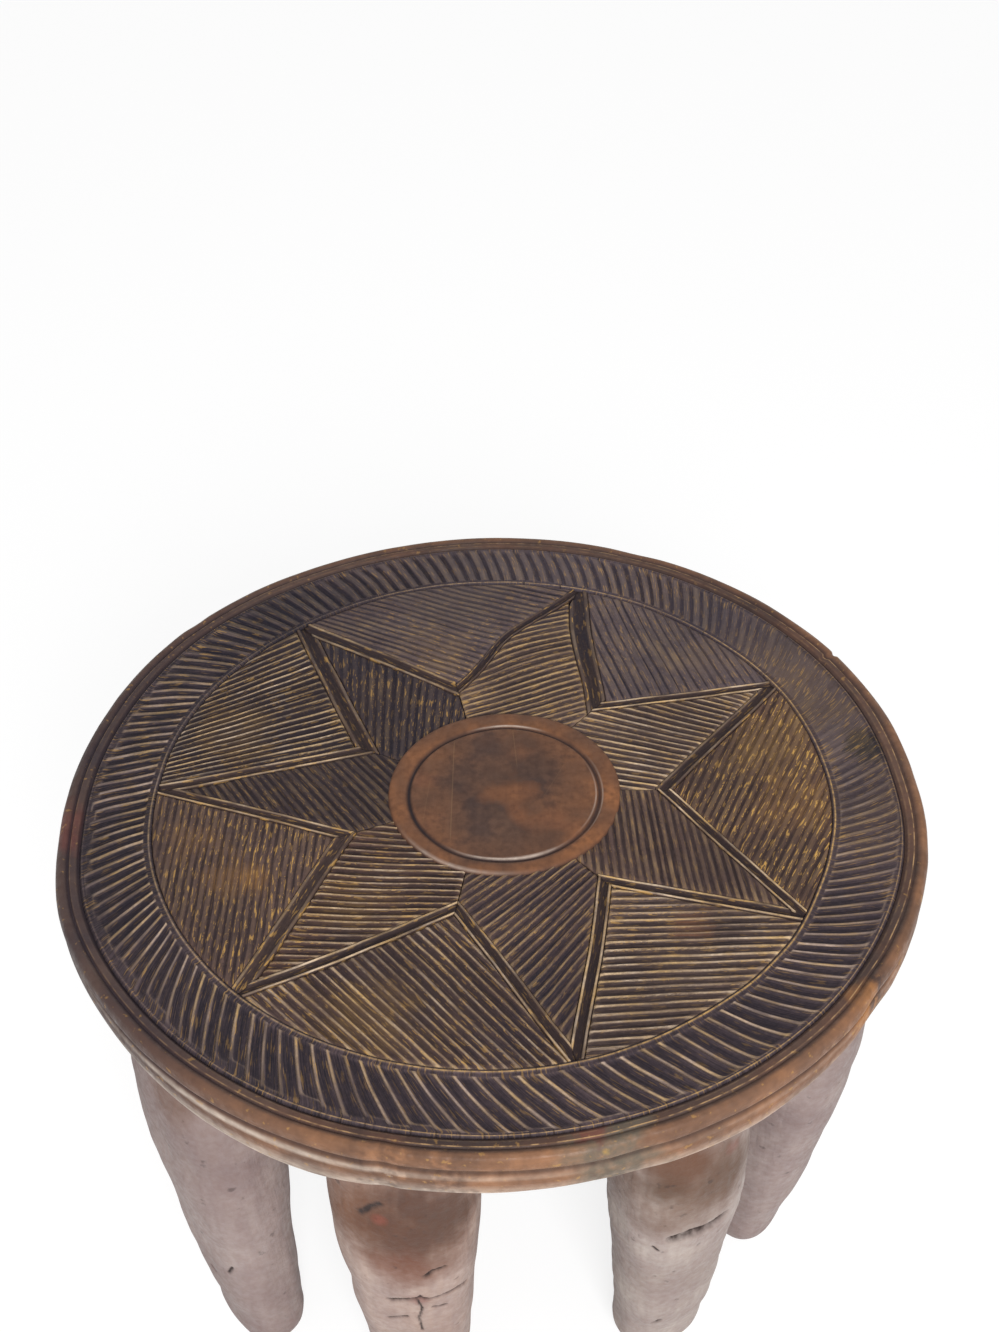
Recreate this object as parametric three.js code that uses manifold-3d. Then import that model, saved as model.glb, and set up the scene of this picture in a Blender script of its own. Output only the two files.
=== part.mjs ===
// Carved round stool: a dished seat with an incised star, on eleven bowed legs.
// Millimetres, +Z up. The origin is on the floor, under the middle of the seat.
import * as THREE from 'three';
import { mergeVertices } from 'three/addons/utils/BufferGeometryUtils.js';
import Module from 'manifold-3d';

const wasm = await Module();
wasm.setup();

// Driving dimensions of the whole stool
const stoolHeight = 276;
const rimHeight = 27;

// Plan of the seat, laid out from the star's ring outwards: the raised line of the ring, the
// border of strokes, the land and the pair of grooves inside the rim, and the rim's crest
const ringRadius = 191;
const borderWidth = 32;
const grooveLand = 2.5;
const grooveSpacing = 4.5;
const crestWidth = 10;
const bandRadius = ringRadius + borderWidth;
const innerGrooveRadius = bandRadius + grooveLand;
const outerGrooveRadius = innerGrooveRadius + grooveSpacing;
const seatRadius = outerGrooveRadius + crestWidth;

// Rim moulding: how far its lower edge tucks in, and the section of the grooves
const rimTuck = 6.5;
const rimGrooveWidth = 3.6;
const outerGrooveDepth = 1.6;
const innerGrooveDepth = 2.4;

// Sitting surface: the border starts a little below the crest, and the dish is shallow
const bandDrop = 2.2;
const dishDepth = 5;

// Ring round the star: a thin raised line, with a V-cut outside it
const ringCrest = 1.6;
const ringCutWidth = 3;
const ringCutDepth = 1.4;

// Star: each line of its outline is a flat-bottomed cut between two thin ridges
const starLineWidth = 8;
const starLineDepth = 1.5;

// Hatching of the star's points and of the gaps between them: gouge lines side by side. Their
// ridges lie a little below the surface, and they start under the boss's edge.
const hatchSpacing = 5;
const hatchDepth = 1.2;
const hatchLand = 0.1;
const hatchSeam = 0.3;
const hatchUnderBoss = 10.3;

// Border strokes between the ring and the rim, side by side
const strokeSpacing = 10;
const strokeDepth = 1.1;
const strokeLand = 0.2;
const strokeInset = 1.2;
const strokeOutset = 2.2;

// How far every cutter stands above the surface
const cutLift = 1.5;

// Boss in the middle of the seat, with one incised circle
const bossRadius = 66;
const bossRise = 1.2;
const bossOffset = 7.7;
const bossCircleRadius = 54;
const bossCircleWidth = 3;
const bossCircleDepth = 1.5;
const bossRoot = 3;

// Underside: flat where the legs stand, thicker inside the ring of legs
const bellyRadius = 152;
const bellyDrop = 9;

// Legs: greatest width along the rim, greatest depth towards the middle
const legWidth = 74;
const legDepth = 67;
const legSetback = 2.5;
const soleRounding = 22;

// Stub tenons on the legs, in blind sockets in the seat
const tenonRadius = 13;
const tenonLength = 10;
const tenonRoot = 6;
const socketClearance = 0.3;
const cutOverrun = 2;

// Facets
const seatFacets = 60;
const bossFacets = 36;
const legFacets = 14;
const tenonFacets = 12;
const weldDistance = 0.0001;
const ringChords = 6;
const mergeTolerance = 0.02;

// Star: each valley near the boss [degrees, share of the seat's radius],
// and each point's tip on the ring in degrees, anticlockwise from the right
const starTipAngles = [25.2, 71.8, 128.5, 179, 228.4, 281.7, 328.1];
const starValleyShares = [
  [46.6, 0.386], [102.4, 0.374], [154.2, 0.333], [202, 0.361],
  [257.6, 0.374], [310.3, 0.387], [357.9, 0.41],
];

// Width of the line to each tip from the valley before it and from the valley after it, as
// shares of the usual line, and the cut and its floor as shares of each line's width
const lineWidthShares = [
  [1.02, 0.81], [1.5, 0.78], [1.2, 1.38], [0.9, 0.87], [1.14, 0.93], [0.87, 0.96], [0.9, 0.84],
];
const lineCutShare = 0.68;
const lineFloorShare = 0.45;

// Hatching of each star point, and of the gap after it: the lines' direction [degrees], then
// the shares of the usual spacing and depth
const pointHatchShares = [
  [-21, 0.94, 1], [21, 0.94, 0.8], [90, 1.04, 0.7], [-54, 0.94, 0.7],
  [-4, 0.92, 1.1], [48, 0.94, 1], [-87, 0.86, 0.8],
];
const gapHatchShares = [
  [-76, 1.12, 0.5], [-25, 0.96, 0.6], [23, 0.96, 1], [90, 0.84, 0.7],
  [-50, 1, 1], [0, 0.98, 1.1], [64, 0.92, 0.7],
];

// A star point's middle as shares of its tip and of each valley beside it
const pointTipShare = 0.225;
const pointValleyShare = 0.375;

// Round the border from the right, at each angle: the strokes' spacing as a share of the usual
// one, and their slant off the radius in degrees
const strokeSpacingShares = [
  [0, 0.7], [40, 0.74], [65, 0.8], [90, 0.84], [120, 0.82], [150, 0.74], [190, 0.71], [215, 0.78],
  [240, 0.95], [265, 1.03], [295, 1.02], [315, 0.82], [335, 0.7], [360, 0.7],
];
const strokeSlants = [
  [0, 30], [45, 35], [75, 27], [90, 14], [122, 10], [142, 23], [158, 27], [195, 19], [222, 44],
  [237, 35], [262, 42], [285, 36], [300, 23], [332, 32], [360, 30],
];

// Rim section from its lower edge up to its crest: share of the tuck inwards, share of the height
const rimShares = [
  [1, 0], [0.38, 0.07], [0.1, 0.22], [0.14, 0.42], [0.46, 0.54],
  [0.16, 0.63], [0, 0.75], [0.12, 0.88], [0.5, 0.96], [0.95, 1],
];

// Underside of the belly: share of its radius, share of its drop
const bellyShares = [[0, 1], [0.6, 0.82], [0.88, 0.35], [1, 0]];

// Field of the seat between the ring and its middle, as a share of the ring's radius
const fieldShare = 0.6;

// Leg section by height: share of the way down, of the width, of the depth, and the outer
// face's reach as a share of its reach at the top; the foot has the last three of these
const legShares = [
  [0, 0.97, 1, 1], [0.11, 0.99, 0.97, 1.013], [0.25, 0.995, 0.93, 1.022], [0.42, 0.93, 0.865, 1.013],
  [0.6, 0.84, 0.78, 0.996], [0.78, 0.765, 0.685, 0.977],
];
const footShares = [0.725, 0.6, 0.955];

// How round a leg's section is, as a power: 1 makes an ellipse, and less squares it
const legRoundnessShare = 5 / 6;
const soleShares = [[0, 1], [0.4, 0.95], [0.75, 0.82], [1, 0.52]];

// Each leg: its angle at the seat, and how far its foot drifts round and out,
// as shares of the seat's radius
const legPlaces = [
  { angle: 222.2, driftShare: 0.12, spreadShare: 0.068 },
  { angle: 257, driftShare: -0.006, spreadShare: 0.011 },
  { angle: 295.8, driftShare: 0.014, spreadShare: -0.011 },
  { angle: 324.5, driftShare: 0, spreadShare: -0.064 },
  { angle: 356.5, driftShare: 0.01, spreadShare: -0.03 },
  { angle: 29, driftShare: -0.015, spreadShare: -0.01 },
  { angle: 61.5, driftShare: 0.02, spreadShare: 0.01 },
  { angle: 93, driftShare: -0.01, spreadShare: -0.02 },
  { angle: 125.5, driftShare: 0.015, spreadShare: 0 },
  { angle: 157, driftShare: 0, spreadShare: 0.015 },
  { angle: 188.5, driftShare: -0.02, spreadShare: -0.02 },
];

// Levels and radii that several pieces share
const crestLevel = stoolHeight;
const undersideLevel = stoolHeight - rimHeight;
const arrisRadius = seatRadius - rimTuck;
const legReach = arrisRadius - legSetback;
const tenonReach = legReach - legDepth / 2;

const radians = THREE.MathUtils.degToRad;

// Height of the sitting surface at a radius
function dishLevel(radius) {
  return crestLevel - bandDrop - dishDepth * (1 - (radius / bandRadius) ** 2);
}

// A closed geometry as a solid that can be cut and joined
function solidOf(geometry) {
  const bare = geometry.clone();
  bare.deleteAttribute('normal');
  bare.deleteAttribute('uv');
  const welded = mergeVertices(bare, weldDistance);
  const corners = welded.index.array;
  const faces = [];
  for (let i = 0; i < corners.length; i += 3) {
    const face = [corners[i], corners[i + 1], corners[i + 2]];
    if (new Set(face).size === 3) faces.push(...face);
  }
  const vertProperties = welded.attributes.position.array;
  return new wasm.Manifold(new wasm.Mesh({ numProp: 3, vertProperties, triVerts: Uint32Array.from(faces) }));
}

// The finished solid as a geometry
function geometryOf(solid) {
  const { vertProperties, triVerts } = solid.getMesh();
  const geometry = new THREE.BufferGeometry();
  geometry.setAttribute('position', new THREE.BufferAttribute(vertProperties, 3));
  geometry.setIndex(new THREE.BufferAttribute(triVerts, 1));
  geometry.computeVertexNormals();
  return geometry;
}

// A skin over rings of as many points each, with a fan over both ends or round to its start
function loft(rings, goesRound = false) {
  const count = rings[0].length;
  const middle = (ring) => ring.reduce((sum, p) => sum.add(p), new THREE.Vector3()).divideScalar(count);
  const points = [...rings.flat(), middle(rings[0]), middle(rings.at(-1))];
  const [firstHub, lastHub] = [points.length - 2, points.length - 1];
  const lastRing = (rings.length - 1) * count;
  const faces = [];
  for (let i = 0; i < count; i += 1) {
    const next = (i + 1) % count;
    const join = (low, high) => {
      faces.push(low + i, low + next, high + next);
      faces.push(low + i, high + next, high + i);
    };
    for (let start = 0; start < lastRing; start += count) join(start, start + count);
    if (goesRound) join(lastRing, 0);
    else faces.push(firstHub, next, i, lastHub, lastRing + i, lastRing + next);
  }
  const geometry = new THREE.BufferGeometry().setFromPoints(goesRound ? rings.flat() : points);
  geometry.setIndex(faces);
  return geometry;
}

// A turned solid: the profile's x is the radius, its y the height
function turned(profile, facets) {
  const points = profile.map(([radius, level]) => new THREE.Vector2(radius, level));
  return new THREE.LatheGeometry(points, facets).rotateX(Math.PI / 2);
}

// Three profile points of a V-cut in the sitting surface, from its outer edge inwards
function cutProfile(radius, width, depth, level) {
  const half = width / 2;
  return [
    [radius + half, level(radius + half)],
    [radius, level(radius) - depth],
    [radius - half, level(radius - half)],
  ];
}

// The seat's blank, turned: belly, rim, grooves, border band, ring and field
function seatBlank() {
  const belly = bellyShares.map(([out, down]) => [bellyRadius * out, undersideLevel - bellyDrop * down]);
  const rim = rimShares.map(([tuck, up]) => [seatRadius - rimTuck * tuck, undersideLevel + rimHeight * up]);
  const crestSlope = (radius) => {
    const share = (seatRadius - rimTuck - radius) / (seatRadius - rimTuck - bandRadius);
    return crestLevel - bandDrop * THREE.MathUtils.clamp(share, 0, 1);
  };
  const profile = [
    ...belly,
    ...rim,
    ...cutProfile(outerGrooveRadius, rimGrooveWidth, outerGrooveDepth, crestSlope),
    ...cutProfile(innerGrooveRadius, rimGrooveWidth, innerGrooveDepth, crestSlope),
    ...cutProfile(ringRadius + ringCutWidth / 2, ringCutWidth, ringCutDepth, dishLevel),
    [ringRadius * fieldShare, dishLevel(ringRadius * fieldShare)],
    [0, dishLevel(0)],
  ];
  return solidOf(turned(profile, seatFacets));
}

// A point of the plan, at a radius and an angle
function polar(radius, degrees) {
  return new THREE.Vector2(radius, 0).rotateAround(new THREE.Vector2(), radians(degrees));
}

// The star's corners: a tip on the ring, and a valley near the boss
const tipAt = (i) => polar(ringRadius - ringCrest, starTipAngles.at(i % starTipAngles.length));
const valleyAt = (i) => {
  const [degrees, share] = starValleyShares.at(i);
  return polar(seatRadius * share, degrees);
};

// Whole width of a tip's line to the valley before it, side 0, or to the one after it, side 1
const lineWidth = (i, side) => starLineWidth * lineWidthShares.at(i % lineWidthShares.length)[side];

// One line of the star: a flat-bottomed cut along the surface. At its valley it runs on by half
// its width, into the line that meets it there.
function lineCut(valley, tip, width) {
  const along = tip.clone().sub(valley).normalize();
  const side = new THREE.Vector2(-along.y, along.x);
  const [reach, floorReach] = [width * lineCutShare / 2, width * lineFloorShare / 2];
  const slope = (reach - floorReach) / starLineDepth;
  const rings = [valley.clone().addScaledVector(along, -reach), tip].map((centre) => {
    const surface = dishLevel(centre.length());
    const at = (away, lift) => {
      const point = centre.clone().addScaledVector(side, away);
      return new THREE.Vector3(point.x, point.y, surface + lift);
    };
    const [top, bottom] = [cutLift, -starLineDepth];
    const topReach = reach + slope * cutLift;
    return [at(-topReach, top), at(-floorReach, bottom), at(floorReach, bottom), at(topReach, top)];
  });
  return solidOf(loft(rings));
}

// The star: from each tip, one line to the valley on either side of it
function starCuts() {
  return starTipAngles.flatMap((_, i) => [
    lineCut(valleyAt(i - 1), tipAt(i), lineWidth(i, 0)),
    lineCut(valleyAt(i), tipAt(i), lineWidth(i, 1)),
  ]);
}

// A field of gouge lines as one cutter: each row runs from one point of the plan to another,
// and lies some way under the sitting surface
function gougedField(rows, level, goesRound = false) {
  const at = (point, lift) => new THREE.Vector3(point.x, point.y, level(point) + lift);
  const rings = rows.map(({ from, to, depth }) => {
    return [at(to, cutLift), at(to, -depth), at(from, -depth), at(from, cutLift)];
  });
  return solidOf(loft(rings, goesRound));
}

// A straight side of a panel, set in from the line between two points towards a point inside
function panelSide(first, second, inside, inset) {
  const inwards = new THREE.Vector2(first.y - second.y, second.x - first.x).normalize();
  if (inside.clone().sub(first).dot(inwards) < 0) inwards.negate();
  return { place: first.clone().addScaledVector(inwards, inset), inwards };
}

// A hatched panel: ridges and gouge lines by turns, half a spacing apart, in the plane that
// touches the dish at the panel's middle, trimmed to the panel's sides
function hatchCut(middle, sides, [direction, spacingShare, depthShare]) {
  const along = polar(ringRadius, direction);
  const across = polar(hatchSpacing * spacingShare / 2, direction + 90);
  const slope = middle.clone().multiplyScalar(2 * dishDepth / bandRadius ** 2);
  const level = (point) => dishLevel(middle.length()) + slope.dot(point.clone().sub(middle));
  const count = Math.ceil(ringRadius / across.length());
  const rows = Array.from({ length: 2 * count + 1 }, (_, i) => {
    const centre = middle.clone().addScaledVector(across, i - count);
    const depth = hatchLand + ((i - count) % 2 ? hatchDepth * depthShare : 0);
    return { from: centre.clone().sub(along), to: centre.clone().add(along), depth };
  });
  return sides.reduce((field, { place, inwards }) => {
    return field.trimByPlane([inwards.x, inwards.y, 0], place.dot(inwards));
  }, gougedField(rows, level));
}

// The star's points: each between its two lines, the seams to its neighbours and the boss
function pointCuts() {
  return starTipAngles.map((angle, i) => {
    const [tip, before, after] = [tipAt(i), valleyAt(i - 1), valleyAt(i)];
    const middle = tip.clone().multiplyScalar(pointTipShare);
    middle.addScaledVector(before, pointValleyShare).addScaledVector(after, pointValleyShare);
    const centre = new THREE.Vector2();
    const sides = [
      panelSide(before, tip, middle, lineWidth(i, 0) / 2 + hatchSeam),
      panelSide(after, tip, middle, lineWidth(i, 1) / 2 + hatchSeam),
      panelSide(centre, before, middle, hatchSeam),
      panelSide(centre, after, middle, hatchSeam),
      { place: polar(bossRadius - bossOffset - hatchUnderBoss, angle), inwards: polar(1, angle) },
    ];
    return hatchCut(middle, sides, pointHatchShares[i]);
  });
}

// The gaps between the points: each between two lines and the ring
function gapCuts() {
  return starTipAngles.map((angle, i) => {
    const [valley, first, second] = [valleyAt(i), tipAt(i), tipAt(i + 1)];
    const middle = valley.clone().add(first).add(second).divideScalar(3);
    const turn = (starTipAngles.at((i + 1) % starTipAngles.length) - angle + 360) % 360;
    const sides = [
      panelSide(valley, first, middle, lineWidth(i, 1) / 2 + hatchSeam),
      panelSide(valley, second, middle, lineWidth(i + 1, 0) / 2 + hatchSeam),
    ];
    for (let k = 0; k <= ringChords; k += 1) {
      const out = polar(1, angle + turn * k / ringChords);
      const place = out.clone().multiplyScalar(ringRadius - ringCrest);
      sides.push({ place, inwards: out.clone().negate() });
    }
    return hatchCut(middle, sides, gapHatchShares[i]);
  });
}

// A value round the seat from a table of degrees and values
function roundTable(table, degrees) {
  const i = table.findIndex(([at]) => at > degrees);
  const [[low, lowValue], [high, highValue]] = [table.at(i - 1), table.at(i)];
  return THREE.MathUtils.mapLinear(degrees, low, high, lowValue, highValue);
}

// The border's strokes: one cutter goes right round, with a ridge and a gouge line by turns
function borderCut() {
  const start = ringRadius + ringCutWidth + strokeInset;
  const end = bandRadius - strokeOutset;
  const middle = (start + end) / 2;
  const angles = [0];
  while (angles.at(-1) < 360) {
    const step = strokeSpacing * roundTable(strokeSpacingShares, angles.at(-1)) / middle;
    angles.push(angles.at(-1) + THREE.MathUtils.radToDeg(step));
  }
  const fit = 360 / angles.at(-1);
  const rows = angles.slice(0, -1).flatMap((angle, i) => {
    return [0, (angles[i + 1] - angle) / 2].map((step) => {
      const degrees = (angle + step) * fit;
      const slant = Math.tan(radians(roundTable(strokeSlants, degrees)));
      const lean = THREE.MathUtils.radToDeg(slant * (end - start) / (end + start));
      const depth = step > 0 ? strokeLand + strokeDepth : strokeLand;
      return { from: polar(start, degrees - lean), to: polar(end, degrees + lean), depth };
    });
  });
  return gougedField(rows, (point) => dishLevel(point.length()), true);
}

// The boss: a low disc, its incised circle and its place off the middle
function bossDisc() {
  const top = dishLevel(bossRadius) + bossRise;
  const height = bossRise + dishLevel(bossRadius) - dishLevel(0) + bossRoot;
  const disc = new THREE.CylinderGeometry(bossRadius, bossRadius, height, bossFacets).rotateX(Math.PI / 2);
  return solidOf(disc.translate(bossOffset, 0, top - height / 2));
}

function bossCircle() {
  const top = dishLevel(bossRadius) + bossRise;
  const reach = (bossCircleWidth / 2) * (bossCircleDepth + cutLift) / bossCircleDepth;
  const profile = [
    [bossCircleRadius, top - bossCircleDepth],
    [bossCircleRadius + reach, top + cutLift],
    [bossCircleRadius - reach, top + cutLift],
    [bossCircleRadius, top - bossCircleDepth],
  ];
  return solidOf(turned(profile, bossFacets).translate(bossOffset, 0, 0));
}

// A round peg along +Z, from one level to another, at a leg's place on the stool
function peg(radius, low, high, degrees) {
  const shape = new THREE.CylinderGeometry(radius, radius, high - low, tenonFacets).rotateX(Math.PI / 2);
  return shape.translate(tenonReach, 0, (low + high) / 2).rotateZ(radians(degrees));
}

function socketCuts() {
  const top = undersideLevel + tenonLength + socketClearance;
  return legPlaces.map(({ angle }) => {
    return solidOf(peg(tenonRadius + socketClearance, undersideLevel - cutOverrun, top, angle));
  });
}

function seatGeometry() {
  const carving = [borderCut(), ...pointCuts(), ...gapCuts(), ...starCuts()];
  const carved = carving.reduce((solid, cut) => solid.subtract(cut), seatBlank());
  const cuts = [bossCircle(), ...socketCuts()];
  const seat = cuts.reduce((solid, cut) => solid.subtract(cut), carved.add(bossDisc()));
  return geometryOf(seat.simplify(mergeTolerance));
}

// One section of a leg: a squared ellipse across the leg at a level
function legRing(level, width, depth, reach, drift, size) {
  return Array.from({ length: legFacets }, (_, i) => {
    const turn = 2 * Math.PI * i / legFacets;
    const squared = (value) => Math.sign(value) * Math.abs(value) ** legRoundnessShare;
    const out = reach - depth / 2 + size * squared(Math.cos(turn)) * depth / 2;
    const round = drift + size * squared(Math.sin(turn)) * width / 2;
    return new THREE.Vector3(out, round, level);
  });
}

// A leg in its own frame: +X outwards, its foot rounded over to a small flat sole
function legGeometry({ driftShare, spreadShare }) {
  const ringAt = (down, width, depth, reach, size) => {
    const spread = seatRadius * spreadShare * down;
    const drift = seatRadius * driftShare * down;
    const level = undersideLevel * (1 - down);
    return legRing(level, legWidth * width, legDepth * depth, legReach * reach + spread, drift, size);
  };
  const shaft = legShares.map(([down, width, depth, reach]) => ringAt(down, width, depth, reach, 1));
  const foot = soleShares.map(([way, size]) => {
    const down = 1 - soleRounding * (1 - way) / undersideLevel;
    return ringAt(down, ...footShares, size);
  });
  const tenon = peg(tenonRadius, undersideLevel - tenonRoot, undersideLevel + tenonLength, 0);
  return geometryOf(solidOf(loft([...shaft, ...foot].reverse())).add(solidOf(tenon)));
}

function piece(name, geometry, color, roughness) {
  const material = new THREE.MeshStandardMaterial({ color, roughness, metalness: 0 });
  const mesh = new THREE.Mesh(geometry, material);
  mesh.name = name;
  return mesh;
}

const stool = new THREE.Group();
stool.add(piece('seat', seatGeometry(), '#46322a', 0.55));
legPlaces.forEach((place, i) => {
  const leg = piece(`leg_${i + 1}`, legGeometry(place), '#8f7d74', 0.75);
  leg.rotation.z = radians(place.angle);
  stool.add(leg);
});

export default stool;
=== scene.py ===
"""A carved round stool: a dished seat with an incised star, on eleven bowed legs.

Metres, +Z up, in the frame of the solid part: the origin is on the floor, under the seat's middle.
"""
import math
import random

import bmesh
import bpy
import numpy as np
from mathutils import Matrix, Vector


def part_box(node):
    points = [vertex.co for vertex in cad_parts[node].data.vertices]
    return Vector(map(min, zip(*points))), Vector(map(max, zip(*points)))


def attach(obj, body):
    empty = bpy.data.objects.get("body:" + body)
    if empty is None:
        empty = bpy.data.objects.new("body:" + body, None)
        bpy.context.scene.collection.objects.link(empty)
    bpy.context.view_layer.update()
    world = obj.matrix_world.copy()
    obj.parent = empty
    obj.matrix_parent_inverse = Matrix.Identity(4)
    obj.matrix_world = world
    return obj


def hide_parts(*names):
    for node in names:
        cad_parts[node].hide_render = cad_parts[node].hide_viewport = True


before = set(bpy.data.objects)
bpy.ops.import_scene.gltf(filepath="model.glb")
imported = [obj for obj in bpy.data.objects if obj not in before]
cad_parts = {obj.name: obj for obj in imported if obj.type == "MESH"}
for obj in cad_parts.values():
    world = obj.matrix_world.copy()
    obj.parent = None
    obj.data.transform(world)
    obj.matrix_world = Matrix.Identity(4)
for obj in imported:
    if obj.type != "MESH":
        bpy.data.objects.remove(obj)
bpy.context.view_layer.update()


# Where the stool is looked at from, the floor it stands on and the light it stands in.
# The light is plain: a wide lamp in front, which picks out the cuts that run across, and a
# pale light from all round.
CAMERA_PLACE = (0.00677, -0.60819, 0.8701)
CAMERA_DIP = 0.69827
CAMERA_ROLL = 0.0236132
CAMERA_LENS = 40.68
SENSOR_HEIGHT = 36
FLOOR_SIZE = 12
FLOOR_WHITE = 0.92
FLOOR_GLOW = 1.13
FLOOR_SHARE = 0.72
SKY_STRENGTH = 0.55
LAMP_PLACE = (0.3, -1.6, 1.2)
LAMP_AIM = (0, 0, 0.25)
LAMP_SIZE = 0.7
LAMP_WATTS = 28
BEHIND_FLOOR = 0.0002

eye = bpy.data.cameras.new("eye")
eye.lens = CAMERA_LENS
eye.sensor_fit = "VERTICAL"
eye.sensor_height = SENSOR_HEIGHT
camera = bpy.data.objects.new("eye", eye)
camera.matrix_world = (
    Matrix.Translation(CAMERA_PLACE)
    @ Matrix.Rotation(math.pi / 2 - CAMERA_DIP, 4, "X")
    @ Matrix.Rotation(-CAMERA_ROLL, 4, "Z")
)
bpy.context.collection.objects.link(camera)
bpy.context.scene.camera = camera
bpy.context.scene.view_settings.view_transform = "Standard"

softbox = bpy.data.lights.new("softbox", "AREA")
softbox.size = LAMP_SIZE
softbox.energy = LAMP_WATTS
lamp = bpy.data.objects.new("softbox", softbox)
lamp.location = LAMP_PLACE
lamp.rotation_euler = (Vector(LAMP_AIM) - Vector(LAMP_PLACE)).to_track_quat("-Z", "Y").to_euler()
bpy.context.collection.objects.link(lamp)


def white_behind(tree, surface, output, share, brightness):
    """The surface as it is for light, and plain white where the camera or a mirror sees it."""
    rays = tree.nodes.new("ShaderNodeLightPath").outputs
    seen = rays["Is Camera Ray"]
    for ray in ("Is Glossy Ray", "Is Transmission Ray", None):
        step = tree.nodes.new("ShaderNodeMath")
        step.operation = "MAXIMUM" if ray else "MULTIPLY"
        step.inputs[1].default_value = share
        tree.links.new(seen, step.inputs[0])
        if ray:
            tree.links.new(rays[ray], step.inputs[1])
        seen = step.outputs[0]
    white = tree.nodes.new("ShaderNodeBackground" if output.type == "OUTPUT_WORLD" else "ShaderNodeEmission")
    white.inputs["Color"].default_value = (1, 1, 1, 1)
    white.inputs["Strength"].default_value = brightness
    mix = tree.nodes.new("ShaderNodeMixShader")
    for socket, place in zip((seen, surface.outputs[0], white.outputs[0]), mix.inputs):
        tree.links.new(socket, place)
    tree.links.new(mix.outputs[0], output.inputs["Surface"])


sky = bpy.data.worlds.new("sky")
sky.use_nodes = True
air = sky.node_tree.nodes["Background"]
air.inputs["Color"].default_value = (1, 1, 1, 1)
air.inputs["Strength"].default_value = SKY_STRENGTH
white_behind(sky.node_tree, air, sky.node_tree.nodes["World Output"], 1, 1)
bpy.context.scene.world = sky

floor_paint = bpy.data.materials.new("floor_white")
floor_paint.use_nodes = True
matt = floor_paint.node_tree.nodes["Principled BSDF"]
matt.inputs["Base Color"].default_value = (FLOOR_WHITE, FLOOR_WHITE, FLOOR_WHITE, 1)
matt.inputs["Roughness"].default_value = 1
paint_output = floor_paint.node_tree.nodes["Material Output"]
white_behind(floor_paint.node_tree, matt, paint_output, FLOOR_SHARE, FLOOR_GLOW)
bm = bmesh.new()
bmesh.ops.create_grid(bm, x_segments=1, y_segments=1, size=FLOOR_SIZE / 2)
bmesh.ops.translate(bm, vec=(0, 0, -BEHIND_FLOOR), verts=bm.verts)
ground = bpy.data.meshes.new("floor")
bm.to_mesh(ground)
bm.free()
ground.materials.append(floor_paint)
floor = bpy.data.objects.new("floor", ground)
bpy.context.collection.objects.link(floor)


# The seat's board: one round of wood with a rolled rim, two grooves inside its crest and a
# thicker belly below. It is turned here with its top cut back to a flat floor, on which the
# carved pieces of the sitting surface stand.
seat_low, seat_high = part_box("seat")
SEAT_RADIUS = seat_high.x
CREST = seat_high.z
RIM_HEIGHT = 0.027
RIM_TUCK = 0.0065
UNDERSIDE = CREST - RIM_HEIGHT
BELLY_RADIUS = 0.152
BELLY_DROP = UNDERSIDE - seat_low.z
BAND_RADIUS = 0.223
BAND_DROP = 0.0022
DISH_DEPTH = 0.005
CARVING_FLOOR = UNDERSIDE + 0.0165
GROOVE_SEAM = 0.2268
RIM_STEPS = 720
RIM_POINTS = 56
RIM_SHARES = (
    (1, 0), (0.28, 0.03), (0.06, 0.14), (0.02, 0.28), (0.12, 0.44), (0.34, 0.51), (0.46, 0.55), (0.3, 0.59),
    (0.12, 0.64), (0, 0.75), (0.06, 0.87), (0.26, 0.96), (0.6, 1),
)
BELLY_SHARES = ((0, 1), (0.45, 0.9), (0.75, 0.6), (0.92, 0.25), (1, 0))

# Section of the rim's top, from the seam in the inner groove out to the crest:
# radius, height under the crest, how far that is below the uncut wood, how much it is in a cut
GROOVE_SECTION = (
    (0.2269, 0.0035, 0.0019, 1), (0.2273, 0.0034, 0.0018, 1), (0.2278, 0.0028, 0.0013, 0.8),
    (0.2283, 0.0018, 0.0004, 0.3), (0.2288, 0.0014, 0, 0), (0.2297, 0.0012, 0, 0), (0.2307, 0.0011, 0, 0),
    (0.2313, 0.0011, 0, 0), (0.2318, 0.001, 0, 0), (0.2322, 0.0013, 0.0003, 0.1),
    (0.2325, 0.002, 0.0011, 0.7), (0.2329, 0.0023, 0.0015, 1), (0.2334, 0.002, 0.0013, 0.9),
    (0.2339, 0.0012, 0.0006, 0.4), (0.2345, 0.0006, 0, 0.1), (0.2353, 0.0002, 0, 0),
)
GROOVE_LIPS = ((0.2288, 0.2), (0.2318, 1))

# Round the rim, anticlockwise from the right: how deep the grooves are cut, which also sets how
# dark they are painted (partly grime, partly painted shade, deepest on the left), and how far the
# wood is rubbed to orange and painted lit (partly wear, partly painted light to the front and
# right, with painted shade on the left where it is low)
GROOVE_DEEP = ((0, 0.6), (60, 0.6), (120, 0.8), (150, 1), (215, 1), (245, 0.8), (280, 0.55), (330, 0.6))
RIM_RUBBED_AND_LIT = (
    (0, 0.6), (30, 0.6), (60, 0.5), (90, 0.6), (120, 0.35), (150, 0.12), (180, 0.0), (212, 0.0), (228, 0.1),
    (245, 0.42), (268, 0.75), (300, 0.66), (318, 0.5), (332, 0.66), (345, 0.74),
)

# Round the rim: how far it stands outside a true circle, fading out across the border
OUT_OF_ROUND = (
    (0, 0), (20, 0.0002), (60, 0), (100, 0), (122, 0.0004), (143, 0.0018), (165, -0.0002), (184, -0.0006),
    (203, 0.0026), (222, 0.0013), (244, 0.0012), (262, 0.0003), (280, 0.0002), (303, 0.0008), (325, 0.001),
    (345, 0.0018),
)
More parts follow.
